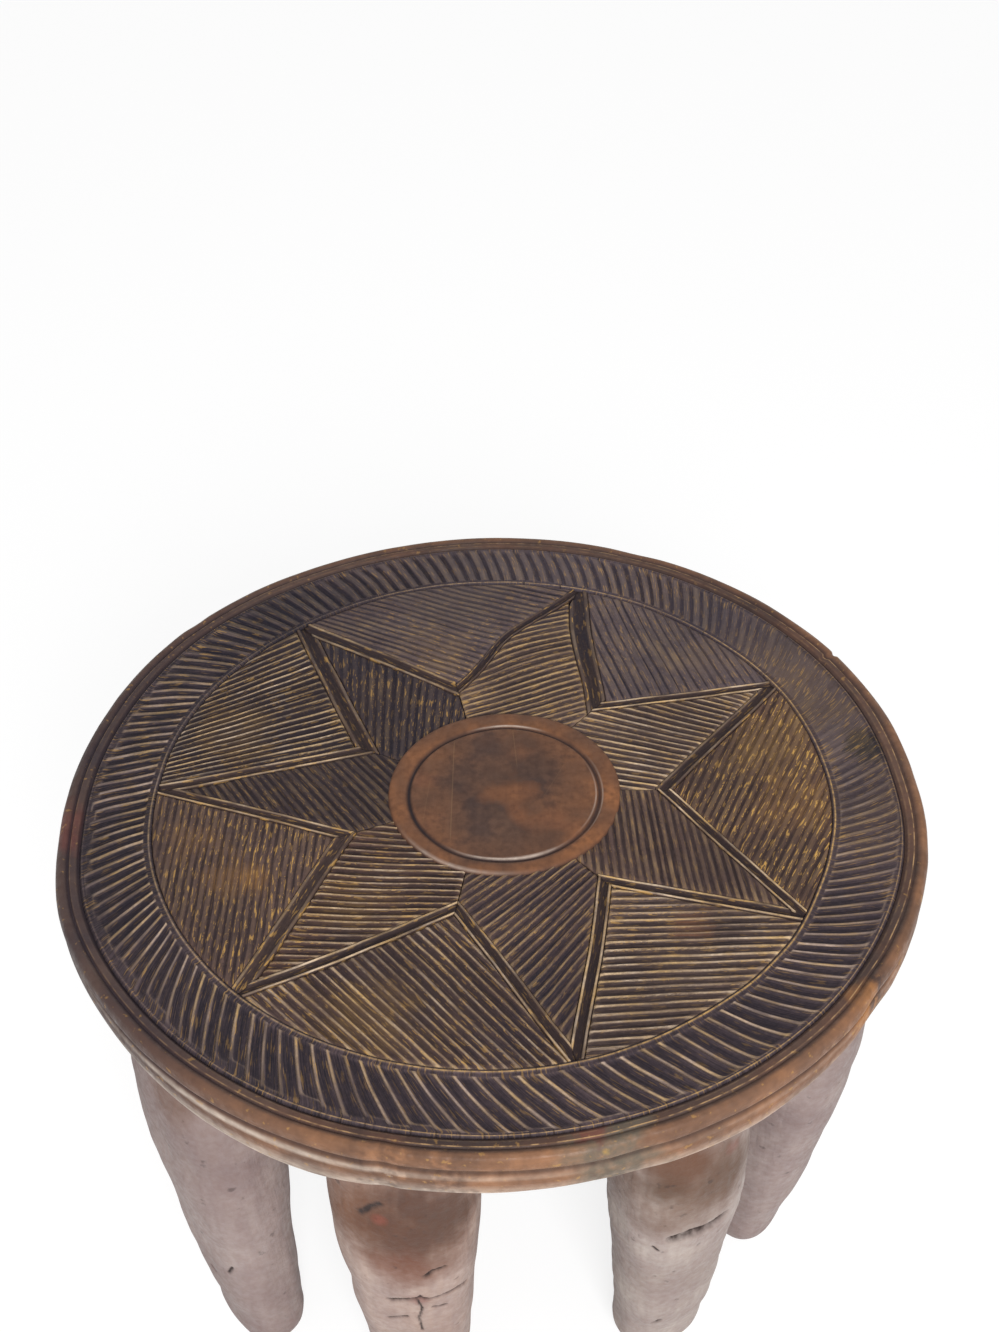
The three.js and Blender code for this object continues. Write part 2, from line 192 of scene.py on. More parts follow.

# Round the rim: how far its lower edge hangs below the board's underside, how chalky that edge
# is (partly chalk, partly painted light from the floor below), and how strong the painted
# highlight on the line under its waist
RIM_HANG = (
    (0, 0.0004), (60, 0), (180, 0), (205, 0.0008), (222, 0.0034), (236, 0.007), (248, 0.0082),
    (258, 0.0046), (270, 0.0028), (281, 0.0006), (290, 0.003), (300, 0.0042), (312, 0.0012), (330, 0.0004),
)
RIM_CHALK_AND_LIGHT = (
    (0, 0.2), (60, 0), (180, 0), (212, 0.25), (224, 0.75), (242, 0.9), (262, 1), (274, 0.5), (290, 0.6),
    (306, 0.45), (325, 0.2),
)
WAIST_HIGHLIGHT = ((0, 0.1), (60, 0), (205, 0.1), (222, 0.35), (236, 0.68), (256, 0.62), (268, 0.25), (300, 0.1))

# The rim's waist, painted dark as shade under the upper roll, and the painted highlight on the line
# under it: share of the rim's height, how full; and how soft
WAIST_LINES = ((0.53, 1.6), (0.42, 1.4))
WAIST_SOFT = 0.045
OUTSIDE_START = 0.2335
OUTSIDE_FADE = 0.003

# Unevenness of the rim as depth and swell, what is worn off it all round, and off its crest
RIM_SWELLS = ((0.0002, 0.09), (0.0001, 0.03))
RIM_WORN = 0.00035
CREST_WORN = 0.0004
CREST_SWELL = (0.0002, 0.07)

# Half the width of a line that one row of points draws, and how far the carved pieces reach into
# the board
HAIRLINE = 0.0003
SLACK = 0.001
CARVED_FOOT = CARVING_FLOOR - SLACK

# Marks of use round the rim: the angle in degrees, how far along it they reach, and how deep
RIM_NOTCH = (26.3, 0.8, 0.0016)
RIM_FLATS = ((322, 5.5, 0.0011), (257.5, 2.2, 0.0008), (141, 3, 0.0009), (286, 4, 0.0006), (65, 5, 0.0008))

WOOD_BROWN = (92, 70, 60)
WOOD_RED = (104, 68, 52)
WOOD_DARK = (54, 40, 38)
DARK_AND_SHADE_BLUE = (42, 35, 44)
WORN_AND_LIT_ORANGE = (158, 112, 78)
CHALK_AND_HIGHLIGHT = (232, 216, 200)
OCHRE = (188, 144, 80)
RIDGE_PINK = (210, 184, 166)
RIDGE_TAN = (214, 178, 126)
RING_GOLD = (216, 172, 104)
FLECK = (204, 158, 84)
GREY_GREEN = (98, 94, 82)
YELLOW = (200, 164, 84)
BRICK = (138, 70, 56)
TAN = (196, 158, 112)
KNOT_ORANGE = (172, 116, 62)
GROOVE_BROWN = (58, 42, 34)

# Patches of the rim: place, reach, colour, share
RIM_GREY = ((0.054, -0.232, 0.027, GREY_GREEN, 1),)
RIM_STAINS = ((0.1845, -0.149, 0.015, KNOT_ORANGE, 0.8), (-0.236, -0.02, 0.03, BRICK, 0.35))
RIM_KNOT = ((0.1865, -0.1445, 0.006, WOOD_DARK, 0.8),)
RIM_SPOTS = (
    (-0.036, -0.2365, 0.026, WOOD_DARK, 0.4), (0.043, -0.2235, 0.011, BRICK, 0.6),
    (0.0486, -0.2325, 0.2708, 0.0034, YELLOW, 0.6), (-0.05, -0.2365, 0.257, 0.003, CHALK_AND_HIGHLIGHT, 0.9),
)


def paint(colour):
    """A colour as it is seen, 0 to 255 a channel, in the linear values that a shader takes."""
    seen = [channel / 255 for channel in colour]
    return (*(v / 12.92 if v <= 0.04045 else ((v + 0.055) / 1.055) ** 2.4 for v in seen), 1)


def unit(value):
    """The value, held between 0 and 1."""
    return np.clip(value, 0, 1)


def smooth(points, at):
    """Values of a smooth curve through (position, value) points, which never overshoots them."""
    x, y = np.array(points, float).T
    step = np.diff(x)
    slope = np.diff(y) / step
    same = slope[1:] * slope[:-1] > 0
    total = np.where(same, slope[1:] + slope[:-1], 1)
    bend = np.where(same, 2 * slope[1:] * slope[:-1] / total, 0)
    tangent = np.concatenate([slope[:1], bend, slope[-1:]])
    i = np.clip(np.searchsorted(x, at) - 1, 0, len(step) - 1)
    t = unit((at - x[i]) / step[i])
    ends = (1 + 2 * t) * (1 - t) ** 2 * y[i] + t * t * (3 - 2 * t) * y[i + 1]
    return ends + step[i] * (t * (1 - t) ** 2 * tangent[i] - t * t * (1 - t) * tangent[i + 1])


def wander(x, y, swell, seed):
    """The unevenness of hand work over the plan, about -1 to 1, in swells of about that size."""
    draw = random.Random(seed)
    total = 0
    for _ in range(5):
        turn = draw.uniform(0, 2 * math.pi)
        wave = swell * draw.uniform(0.7, 1.5)
        start = draw.uniform(0, 2 * math.pi)
        total = total + np.sin(2 * math.pi * (x * math.cos(turn) + y * math.sin(turn)) / wave + start)
    return total / 2.5


def round_table(table, at):
    """Values round the seat from a table of (degrees, value)."""
    first, last = table[0], table[-1]
    wrapped = [(last[0] - 360, last[1]), *table, (first[0] + 360, first[1])]
    return smooth(wrapped, np.asarray(at) % 360)


def bump_round(angle, middle, reach):
    """1 at an angle of the seat and 0 from that reach on either side, in degrees."""
    near = unit(1 - np.abs((angle - middle + 180) % 360 - 180) / reach)
    return near ** 2 * (3 - 2 * near)


def dish(radius):
    """Height of the sitting surface at a radius."""
    return CREST - BAND_DROP - DISH_DEPTH * (1 - (radius / BAND_RADIUS) ** 2)


class Link:
    """A socket of a finish, so that masks are written as sums."""

    def __init__(self, finish, socket):
        self.finish = finish
        self.socket = socket

    def math(self, operation, first, second, clamp=False):
        settings = {"operation": operation, "use_clamp": clamp}
        return self.finish.node("ShaderNodeMath", settings, {0: first, 1: second})

    def __add__(self, other):
        return self.math("ADD", self, other)

    def __sub__(self, other):
        return self.math("SUBTRACT", self, other)

    def __rsub__(self, other):
        return self.math("SUBTRACT", other, self)

    def __mul__(self, other):
        return self.math("MULTIPLY", self, other)

    __radd__ = __add__
    __rmul__ = __mul__

    def held(self):
        """The value, held between 0 and 1."""
        return self.math("ADD", self, 0, True)

    def size(self):
        """The value without its sign."""
        return self.math("ABSOLUTE", self, 0)


class Finish:
    """A material whose tone is laid on in coats, by masks built up from wrapped sockets."""

    def __init__(self, name):
        self.material = bpy.data.materials.new(name)
        self.material.use_nodes = True
        self.tree = self.material.node_tree
        self.shader = self.tree.nodes["Principled BSDF"]
        self.shader.inputs["Specular IOR Level"].default_value = 0.28
        self.place = self.node("ShaderNodeTexCoord", {}, {}, "Object")
        self.tone = None

    def node(self, kind, settings, values, out=0):
        made = self.tree.nodes.new(kind)
        for key, setting in settings.items():
            setattr(made, key, setting)
        for key, value in values.items():
            if isinstance(value, Link):
                self.tree.links.new(value.socket, made.inputs[key])
            else:
                made.inputs[key].default_value = value
        return Link(self, made.outputs[out])

    def mark(self, name, out="Fac"):
        """A value that the mesh carries at its points."""
        return self.node("ShaderNodeAttribute", {"attribute_name": name}, {}, out)

    def stretched(self, where, stretch):
        return self.node("ShaderNodeVectorMath", {"operation": "MULTIPLY"}, {0: where, 1: stretch})

    def spread(self, value, low, high):
        """The value between low and high, taken to 0 to 1."""
        return self.node("ShaderNodeMapRange", {}, {"Value": value, "From Min": low, "From Max": high})

    def noise(self, where, scale, detail, low, high):
        values = {"Vector": where, "Scale": scale, "Detail": detail}
        return self.spread(self.node("ShaderNodeTexNoise", {}, values), low, high)

    def noises(self, *rules):
        """Noises of the wood, each by its scale, detail and the levels that become 0 and 1."""
        return [self.noise(self.place, *rule) for rule in rules]

    def blend(self, mask, *sides):
        """From one side to the other by a mask; a side is a colour as it is seen, or a socket."""
        under, over = (side if isinstance(side, Link) else paint(side) for side in sides)
        return self.node("ShaderNodeMix", {"data_type": "RGBA"}, {0: mask, 6: under, 7: over}, 2)

    def lay(self, mask, colour):
        """One more coat on the tone."""
        self.tone = self.blend(mask, self.tone, colour)

    def patches(self, table, ragged, scale=1, strength=1):
        """Soft patches with ragged edges: place (x, y, or x, y, z), reach, colour and share."""
        for *place, reach, colour, share in table:
            where = self.place if len(place) == 3 else self.stretched(self.place, (1, 1, 0))
            middle = (*(value * scale for value in place), 0)[:3]
            values = {0: where, 1: middle}
            away = self.node("ShaderNodeVectorMath", {"operation": "DISTANCE"}, values, "Value")
            spot = self.spread(away * (-1 / (reach * scale)) + 1 + (ragged - 0.5) * 0.9, 0.05, 0.75)
            self.lay(spot * (strength * share), colour)

    def close(self, roughness, unevenness, distance):
        """Puts in the tone, the roughness and the unevenness that is too fine for the mesh."""
        values = {"Strength": 1.0, "Distance": distance, "Height": unevenness}
        bump = self.node("ShaderNodeBump", {}, values, "Normal")
        for name, value in (("Base Color", self.tone), ("Roughness", roughness), ("Normal", bump)):
            self.tree.links.new(value.socket, self.shader.inputs[name])


def turned(profile, steps):
    """A closed turned solid of (radius, height) points: one wedge is spun, then copied round."""
    wedge = max(count for count in range(1, int(math.sqrt(steps)) + 1) if steps % count == 0)
    copies = steps // wedge - 1
    step = 2 * math.pi / steps
    shape = bmesh.new()
    points = [shape.verts.new((radius, 0, height)) for radius, height in profile]
    for first, second in zip(points, points[1:]):
        shape.edges.new((first, second))
    if profile[0][0] > 0:
        shape.edges.new((points[-1], points[0]))
    for turns, angle, copied in ((wedge, wedge * step, False), (copies, copies * wedge * step, True)):
        bmesh.ops.spin(
            shape, geom=shape.verts[:] + shape.edges[:] + shape.faces[:], cent=(0, 0, 0), axis=(0, 0, 1),
            dvec=(0, 0, 0), angle=angle, steps=turns, use_merge=False, use_duplicate=copied,
        )
    bmesh.ops.remove_doubles(shape, verts=shape.verts, dist=1e-6)
    bmesh.ops.recalc_face_normals(shape, faces=shape.faces)
    return shape


def mesh_of(shape, name):
    """The finished bmesh as a mesh, with its points as an array."""
    mesh = bpy.data.meshes.new(name)
    shape.to_mesh(mesh)
    shape.free()
    points = np.empty(len(mesh.vertices) * 3, np.float32)
    mesh.vertices.foreach_get("co", points)
    return mesh, points.reshape(-1, 3).astype(float)


def finished(mesh, points, marks, finish, replaced="seat"):
    """The piece: its points and marks put in, smooth, in its finish, in the part's frame."""
    mesh.vertices.foreach_set("co", points.astype(np.float32).ravel())
    for name, values in marks.items():
        flat = values.ndim == 1
        layer = mesh.attributes.new(name, "FLOAT" if flat else "FLOAT_VECTOR", "POINT")
        layer.data.foreach_set("value" if flat else "vector", values.astype(np.float32).ravel())
    mesh.polygons.foreach_set("use_smooth", np.ones(len(mesh.polygons), bool))
    mesh.update()
    mesh.materials.append(finish.material)
    made = bpy.data.objects.new(mesh.name, mesh)
    bpy.context.collection.objects.link(made)
    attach(made, "root")
    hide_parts(replaced)


tuck, lift = np.array(RIM_SHARES).T
way = np.concatenate([[0], np.cumsum(np.hypot(np.diff(tuck * RIM_TUCK), np.diff(lift * RIM_HEIGHT)))])
along = np.linspace(0, way[-1], RIM_POINTS)
rim_radius = SEAT_RADIUS - RIM_TUCK * smooth(np.column_stack([way, tuck]), along)
rim_height = UNDERSIDE + RIM_HEIGHT * smooth(np.column_stack([way, lift]), along)
board_section = [
    *((BELLY_RADIUS * out, UNDERSIDE - BELLY_DROP * down) for out, down in BELLY_SHARES),
    (0.5 * (BELLY_RADIUS + SEAT_RADIUS), UNDERSIDE),
    *zip(rim_radius, rim_height),
    *((row[0], CREST - row[1]) for row in reversed(GROOVE_SECTION)),
    (GROOVE_SECTION[0][0], CARVING_FLOOR),
    (0, CARVING_FLOOR),
]
board_mesh, board = mesh_of(turned(board_section, RIM_STEPS), "seat_board")
x, y, z = board.T
radius = np.hypot(x, y)
angle = np.degrees(np.arctan2(y, x)) % 360
outer = unit((radius - GROOVE_SEAM) / (SEAT_RADIUS - GROOVE_SEAM))
above = unit((z - UNDERSIDE) / RIM_HEIGHT)
section_radius, _, section_dug, section_cut = np.array(GROOVE_SECTION).T
in_grooves = (z > CARVING_FLOOR + SLACK) & (radius < section_radius[-1] + 0.0001)
groove_deep = round_table(GROOVE_DEEP, angle)
dug = np.interp(radius, section_radius, section_dug) * in_grooves
groove_cut = np.interp(radius, section_radius, section_cut) * in_grooves * groove_deep
(broad_depth, broad_swell), (fine_depth, fine_swell) = RIM_SWELLS
worn = wander(x, y, broad_swell, 11) * broad_depth + wander(x, y + z, fine_swell, 12) * fine_depth
knocks = RIM_WORN + worn
for middle, reach, depth in RIM_FLATS:
    knocks = knocks + depth * bump_round(angle, middle, reach)
notch = RIM_NOTCH[2] * bump_round(angle, *RIM_NOTCH[:2]) * above ** 2
inwards = (knocks * outer + notch - round_table(OUT_OF_ROUND, angle)) * (radius > GROOVE_SEAM)
board[:, 0] -= inwards * np.cos(np.radians(angle))
board[:, 1] -= inwards * np.sin(np.radians(angle))
crest_depth, crest_swell = CREST_SWELL
crest_wear = (CREST_WORN + crest_depth * wander(x, y, crest_swell, 13)) * (above > 0.7) + 0.5 * notch
board[:, 2] -= (crest_wear - dug * (1 - groove_deep)) * (radius > GROOVE_SEAM)
on_rim = radius > SEAT_RADIUS - RIM_TUCK
# The waist is painted dark as shade under the upper roll; the line under it gets a painted highlight
waist_shade, waist_highlight = (
    unit(full - np.abs(above - height) / WAIST_SOFT) * on_rim for height, full in WAIST_LINES
)
board[:, 2] -= round_table(RIM_HANG, angle) * unit(1 - above / 0.5) * on_rim
# The lower edge's chalk, partly painted light from below, and the waist's painted highlight
chalk_and_highlight_mark = unit(1.15 - above / 0.26) * on_rim * round_table(RIM_CHALK_AND_LIGHT, angle)
chalk_and_highlight_mark = np.maximum(chalk_and_highlight_mark, 0.95 * waist_highlight * round_table(WAIST_HIGHLIGHT, angle))
hidden = (radius < GROOVE_SEAM + 0.0004) * (z > UNDERSIDE + SLACK)
board_marks = {
    "outside": unit((radius - OUTSIDE_START) / OUTSIDE_FADE),
    "cut": unit(np.maximum(np.maximum(groove_cut, waist_shade * 0.85), hidden)),
    "lip": sum(share * (np.abs(radius - at) < HAIRLINE) for at, share in GROOVE_LIPS) * (above > 0.6),
    "chalk_and_highlight": chalk_and_highlight_mark,
    "rubbed": round_table(RIM_RUBBED_AND_LIT, angle),
}

rim_finish = f = Finish("rim_wood")
broad, patchy, fine, dashes = f.noises(
    (9, 3, 0.35, 0.65), (34, 4, 0.38, 0.62), (210, 4, 0.3, 0.7), (170, 4, 0.42, 0.6),
)
flow = f.noise(f.stretched(f.place, (60, 60, 420)), 1, 3, 0.3, 0.7)
outside, cut, lip, chalk_and_highlight, rubbed = map(f.mark, board_marks)
f.tone = f.blend(broad, WOOD_DARK, WOOD_BROWN)
f.lay(patchy * 0.5 * (0.3 + rubbed), WOOD_RED)
# Painted shade and dark grime: blue-black where the rim is least rubbed, on the left
f.lay((1 - rubbed * 2).held() * (0.3 + 0.5 * patchy), DARK_AND_SHADE_BLUE)
# Rubbed orange wood and painted light: on the outer roll, strongest to the front and right
lit = (outside * 0.82 + 0.07) * (rubbed * 0.95 + 0.04) * (patchy * 0.7 + 0.55)
f.lay(lit + outside * flow * 0.1 * rubbed, WORN_AND_LIT_ORANGE)
# Chalk and painted light on the lower edge, and the painted highlight under the waist
f.lay(chalk_and_highlight * (flow * 0.45 + 0.3 + 0.3 * patchy), CHALK_AND_HIGHLIGHT)
f.patches(RIM_GREY, patchy, strength=0.45 + 0.5 * fine)
f.patches(RIM_STAINS, patchy)
f.patches(RIM_KNOT, dashes)
f.patches(RIM_SPOTS, fine)
f.lay(f.noise(f.place, 240, 5, 0.63, 0.69) * (1 - cut) * 0.45, OCHRE)
f.lay(fine * 0.3, WOOD_DARK)
# The cuts and the waist's painted shade, bluer on the left: partly grime, partly painted shade
f.lay(cut * 0.75, f.blend(rubbed, DARK_AND_SHADE_BLUE, GROOVE_BROWN))
f.lay(lip * (0.15 + 0.95 * rubbed) * (0.15 + 0.95 * dashes), TAN)
f.close(0.4 + fine * 0.25 + cut * 0.2, fine * 0.6 + flow * 0.4, 0.0004)
finished(board_mesh, board, board_marks, rim_finish)


# The border: the raised line of the ring, then a band of oblique knife strokes out to the rim.
# The strokes are wide apart in front and close at the sides, and their slant changes round it.
RING_RADIUS = 0.1908
RING_INSIDE = 0.1894
BAND_LIP = 0.2254
STROKE_START = 0.1938
STROKE_END = 0.2242
STROKE_ROWS = 24
STROKE_DEPTH = 0.0014
STROKE_CURL = 0.0014
BAND_STEPS = 7

# How far strokes stray, as a share of their spacing, and stop short of the rim; the length over
# which a cut deepens at either end; and what is worn off the ridges, with depth and swell of that
STROKE_DRIFT = 0.09
STROKE_SHORT = 0.0065
RUN_IN, RUN_OUT = 0.0012, 0.0018
BAND_WORN = 0.0002
BAND_SWELL = (0.00035, 0.04)

# Half the width of the ring's light line; where the hand's drift fades out before the rim, and
# where the rim's want of roundness begins
RING_FADE = 0.0008
WARP_FADE = 0.006
ROUND_START = 0.2

# A stroke's cut at its steps round the seat, and where they stand: as shares of the ridge, then
# of the cut beside it
STROKE_CUT = (0.16, 0, 0.12, 0.82, 1, 0.85, 0.5)
RIDGE_STEPS = (0, 0.5, 1)
CUT_STEPS = (0.16, 0.45, 0.72, 0.9)

# Sections of the ring's line and of the lip by the rim: radius, depth, how dark
RING_ROWS = (
    (0.1894, 0.0008, 0.7), (0.19, 0.0004, 0.4), (0.1904, 0.0001, 0.1), (0.1908, 0, 0),
    (0.1912, 0.0001, 0.1), (0.1917, 0.0005, 0.4), (0.1923, 0.0006, 0.45), (0.1931, 0.0004, 0.4),
)
EDGE_ROWS = (
    (0.2246, 0.0003, 0.5), (0.225, 0.0001, 0.2), (0.2254, 0, 0), (0.2258, 0.0002, 0.2),
    (0.2263, 0.0009, 0.7), (0.2266, 0.0013, 0.9), (GROOVE_SEAM, 0.0013, 1),
)

# Round the band, anticlockwise from the right: spacing, slant off the radius, share of the
# spacing that is left as a ridge, how light the ridges are, and how dark the cuts
BAND_SPACING = (
    (0, 0.007), (40, 0.0074), (65, 0.008), (90, 0.0084), (120, 0.0082), (150, 0.0074), (190, 0.0071),
    (215, 0.0078), (240, 0.0095), (265, 0.0103), (295, 0.0102), (315, 0.0082), (335, 0.007),
)
BAND_SLANT = (
    (0, 30), (45, 35), (75, 27), (90, 14), (122, 10), (142, 23), (158, 27), (195, 19), (222, 44), (237, 35),
    (262, 42), (285, 36), (300, 23), (332, 32),
)
BAND_RIDGE = (
    (0, 0.26), (45, 0.5), (70, 0.58), (95, 0.55), (125, 0.5), (150, 0.28), (200, 0.2), (235, 0.14),
    (270, 0.14), (300, 0.14), (325, 0.18),
)
BAND_LIGHT = (
    (0, 0.22), (20, 0.1), (40, 0.12), (60, 0.2), (95, 0.14), (125, 0.1), (140, 0.2), (155, 0.7),
    (180, 0.85), (205, 0.9), (225, 0.8), (245, 0.72), (270, 0.82), (300, 0.88), (325, 0.86), (338, 0.65),
    (350, 0.35),
)
BAND_DEEP = (
    (0, 0.5), (8, 0.25), (26, 0.15), (42, 0.5), (60, 0.9), (100, 1.1), (150, 1), (270, 1), (330, 1),
    (348, 0.6),
)
RING_LIGHT = (
    (10, 1.1), (45, 1), (75, 1), (105, 0.5), (125, 0.2), (150, 0.3), (190, 0.5), (225, 0.5), (245, 0.9),
    (280, 1.2), (330, 1.2),
)
LIP_LIGHT = ((0, 0.3), (60, 0.1), (120, 0.15), (180, 0.05), (225, 0.15), (245, 0.6), (290, 0.8), (330, 0.6))
BAND_FADE = (
    (20, 0.3), (90, 0.1), (140, 0.35), (175, 0.6), (205, 0.8), (235, 0.8), (262, 0.4), (300, 0.2),
    (340, 0.25),
)
BAND_DARK = (
    (0, 0.5), (30, 0.3), (60, 0.7), (90, 0.9), (120, 1), (150, 1), (200, 1), (240, 1), (275, 0.9),
    (310, 0.8), (340, 0.65),
)

# The hand's drift over the plan, as shift and swell, and the bow in one star point's left edge:
# its place, reach and shift along x and y
DRIFTS = ((0.0007, 0.14), (0.00012, 0.03))
BOW_PLACE, BOW_REACH, BOW_SHIFT = (0.022, 0.128), (0.03, 0.034), (-0.0065, 0.0045)


def straight_table(table, at):
    """Values round the seat on straight runs between (degrees, value) points."""
    angles, values = np.array(table).T
    return np.interp(at, angles, values, period=360)


def warp(points):
    """Shifts the carving in plan as a hand does, and bows the left edge of one star point."""
    x, y = points[:, 0].copy(), points[:, 1].copy()
    bow = np.exp(-(((x - BOW_PLACE[0]) / BOW_REACH[0]) ** 2) - ((y - BOW_PLACE[1]) / BOW_REACH[1]) ** 2)
    for axis, seed in ((0, 21), (1, 23)):
        points[:, axis] += sum(
            shift * wander(x, y, swell, seed + k) for k, (shift, swell) in enumerate(DRIFTS)
        )
        points[:, axis] += BOW_SHIFT[axis] * bow


middle_radius = 0.5 * (STROKE_START + STROKE_END)
stroke_angles = [0.0]
while stroke_angles[-1] < 360:
    spacing = float(straight_table(BAND_SPACING, stroke_angles[-1]))
    stroke_angles.append(stroke_angles[-1] + math.degrees(spacing / middle_radius))
stroke_angles = np.array(stroke_angles) * 360 / stroke_angles[-1]
stroke_count = len(stroke_angles) - 1
stroke_draw = random.Random(31)
shift = np.array([stroke_draw.uniform(-STROKE_DRIFT, STROKE_DRIFT) for _ in range(stroke_count)])
stroke_angles[:-1] += shift * np.diff(stroke_angles)
stroke_angles[-1] = stroke_angles[0] + 360
stroke_fullness = np.array([stroke_draw.uniform(0.75, 1.1) for _ in range(stroke_count)])
stroke_light = np.array([stroke_draw.uniform(0.55, 1.15) for _ in range(stroke_count)])

rows = np.linspace(STROKE_START, STROKE_END, STROKE_ROWS)
band_section = [
    (RING_INSIDE, CARVED_FOOT),
    *((radius, dish(radius) - under) for radius, under, _ in RING_ROWS),
    *((radius, dish(radius)) for radius in rows),
    *((radius, dish(BAND_RADIUS) - under) for radius, under, _ in EDGE_ROWS),
    (GROOVE_SEAM, CARVED_FOOT),
]
band_mesh, band = mesh_of(turned(band_section, stroke_count * BAND_STEPS), "seat_border")
x, y, z = band.T
radius = np.hypot(x, y)
column = np.round(np.arctan2(y, x) / (2 * math.pi) * stroke_count * BAND_STEPS).astype(int)
column %= stroke_count * BAND_STEPS
stroke = column // BAND_STEPS
step = column % BAND_STEPS
width = np.diff(stroke_angles)[stroke]
ridge = round_table(BAND_RIDGE, stroke_angles[stroke]) * (1 + 0.3 * (stroke_light[stroke] - 0.85))
phases = [share * ridge for share in RIDGE_STEPS] + [ridge + share * (1 - ridge) for share in CUT_STEPS]
phase = np.take_along_axis(np.stack(phases) - 0.5 * ridge, step[None], 0)[0]
turn = stroke_angles[stroke] + phase * width
slant = np.tan(np.radians(straight_table(BAND_SLANT, turn)))
sweep = np.clip(radius, STROKE_START, STROKE_END) / middle_radius
turn = turn + np.degrees(slant * np.log(sweep) + STROKE_CURL * ((sweep - 1) / 0.06) ** 2)
turned_by = np.radians(turn)
way_out = unit((radius - STROKE_START) / (STROKE_END - STROKE_START))
short = np.array([stroke_draw.uniform(0, STROKE_SHORT) for _ in range(stroke_count)])[stroke]
stroke_end = STROKE_END - short * round_table(BAND_FADE, turn)
top = z > CARVING_FLOOR
on_band = (radius >= STROKE_START - 1e-5) & (radius <= STROKE_END + 1e-5) & top
inside = unit((radius - STROKE_START + 0.0004) / RUN_IN)
inside = inside * unit((stroke_end - radius) / RUN_OUT)
cut = np.array(STROKE_CUT)[step] * inside ** 0.6 * round_table(BAND_DEEP, turn) * on_band
row_radius, _, row_cut = np.array((*RING_ROWS, *EDGE_ROWS)).T
row_mark = np.where(top, np.interp(radius, row_radius, row_cut), 1)
beyond = unit((radius - stroke_end + 0.0005) / 0.002)
deep = STROKE_DEPTH * stroke_fullness[stroke] * (0.5 + 0.5 * round_table(BAND_DARK, turn))
band[:, 0] = radius * np.cos(turned_by)
band[:, 1] = radius * np.sin(turned_by)
hand = BAND_SWELL[0] * wander(band[:, 0], band[:, 1], BAND_SWELL[1], 32)
band[:, 2] -= top * (cut * deep + on_band * (BAND_WORN + hand))
fade = 1 - round_table(BAND_FADE, turn) * way_out
ridge_light = round_table(BAND_LIGHT, turn) * stroke_light[stroke] * fade
ring_light = unit(1 - np.abs(radius - RING_RADIUS) / RING_FADE)
ring_light = ring_light * (0.85 + 0.3 * wander(band[:, 0], band[:, 1], 0.12, 33))
lip_light = (np.abs(radius - BAND_LIP) < HAIRLINE) * round_table(LIP_LIGHT, turn)
rub = np.where(on_band, ridge_light, ring_light * round_table(RING_LIGHT, turn) + lip_light)
lined = ~on_band & ((ring_light > 0.01) | (lip_light > 0.01))
band_marks = {
    "cut": np.where(on_band, np.maximum(cut, 0.6 * beyond), row_mark),
    "rub": np.clip(rub, 0, 1.3),
    "gold": lined * (0.5 + 0.5 * np.cos(np.radians(turn + 40))),
    "streak": np.column_stack([phase * 0.009 + stroke * 0.37, radius, stroke * 1.0]),
}
shifted = band.copy()
warp(shifted)
band += (shifted - band) * unit((GROOVE_SEAM - radius) / WARP_FADE)[:, None]
outwards = unit((radius - ROUND_START) / (GROOVE_SEAM - ROUND_START))
outwards = outwards * round_table(OUT_OF_ROUND, turn)
band[:, 0] += outwards * np.cos(turned_by)
band[:, 1] += outwards * np.sin(turned_by)


def carved_finish(name, ridge, wood, recess, ochre_share, stains):
    """Rubbed carving: dark in the cuts, worn wood between, and pale rubbed ridges with ochre."""
    f = Finish(name)
    cut, rub = f.mark("cut"), f.mark("rub")
    streak = f.mark("streak", "Vector")
    broad, patchy, fine = f.noises((13, 3, 0.36, 0.64), (52, 4, 0.36, 0.64), (430, 3, 0.32, 0.68))
    fibre = f.noise(f.stretched(streak, (1300, 55, 3)), 1, 3, 0.34, 0.66)
    broken = f.noise(f.stretched(streak, (260, 62, 1)), 1, 4, 0.36, 0.56)
    f.tone = f.blend(broad, *wood)
    f.lay(fibre * 0.35 + fine * 0.25, recess)
    f.lay(((cut - 0.12) * 1.15).held() * (0.55 + 0.4 * fibre), recess)
    f.patches(stains, patchy * 0.6 + fibre * 0.7 - 0.15, SEAT_RADIUS, 0.25 + 0.75 * fibre)
    raised = (1 - cut * 2.5).held() * rub * (broken * 0.7 + 0.3) * (0.7 + 0.4 * fine)
    f.lay(raised, f.blend(f.mark("gold"), f.blend(patchy, ridge, RIDGE_TAN), RING_GOLD))
    fleck = f.noise(f.stretched(streak, (900, 110, 2)), 1, 3, 0.58, 0.63) * (0.3 + 0.7 * broad)
    f.lay(fleck * ochre_share * (1 - cut * 0.75), FLECK)
    f.close(0.54 + cut * 0.22 + fine * 0.12, fine * 0.5 + fibre * 0.5, 0.0003)
    return f


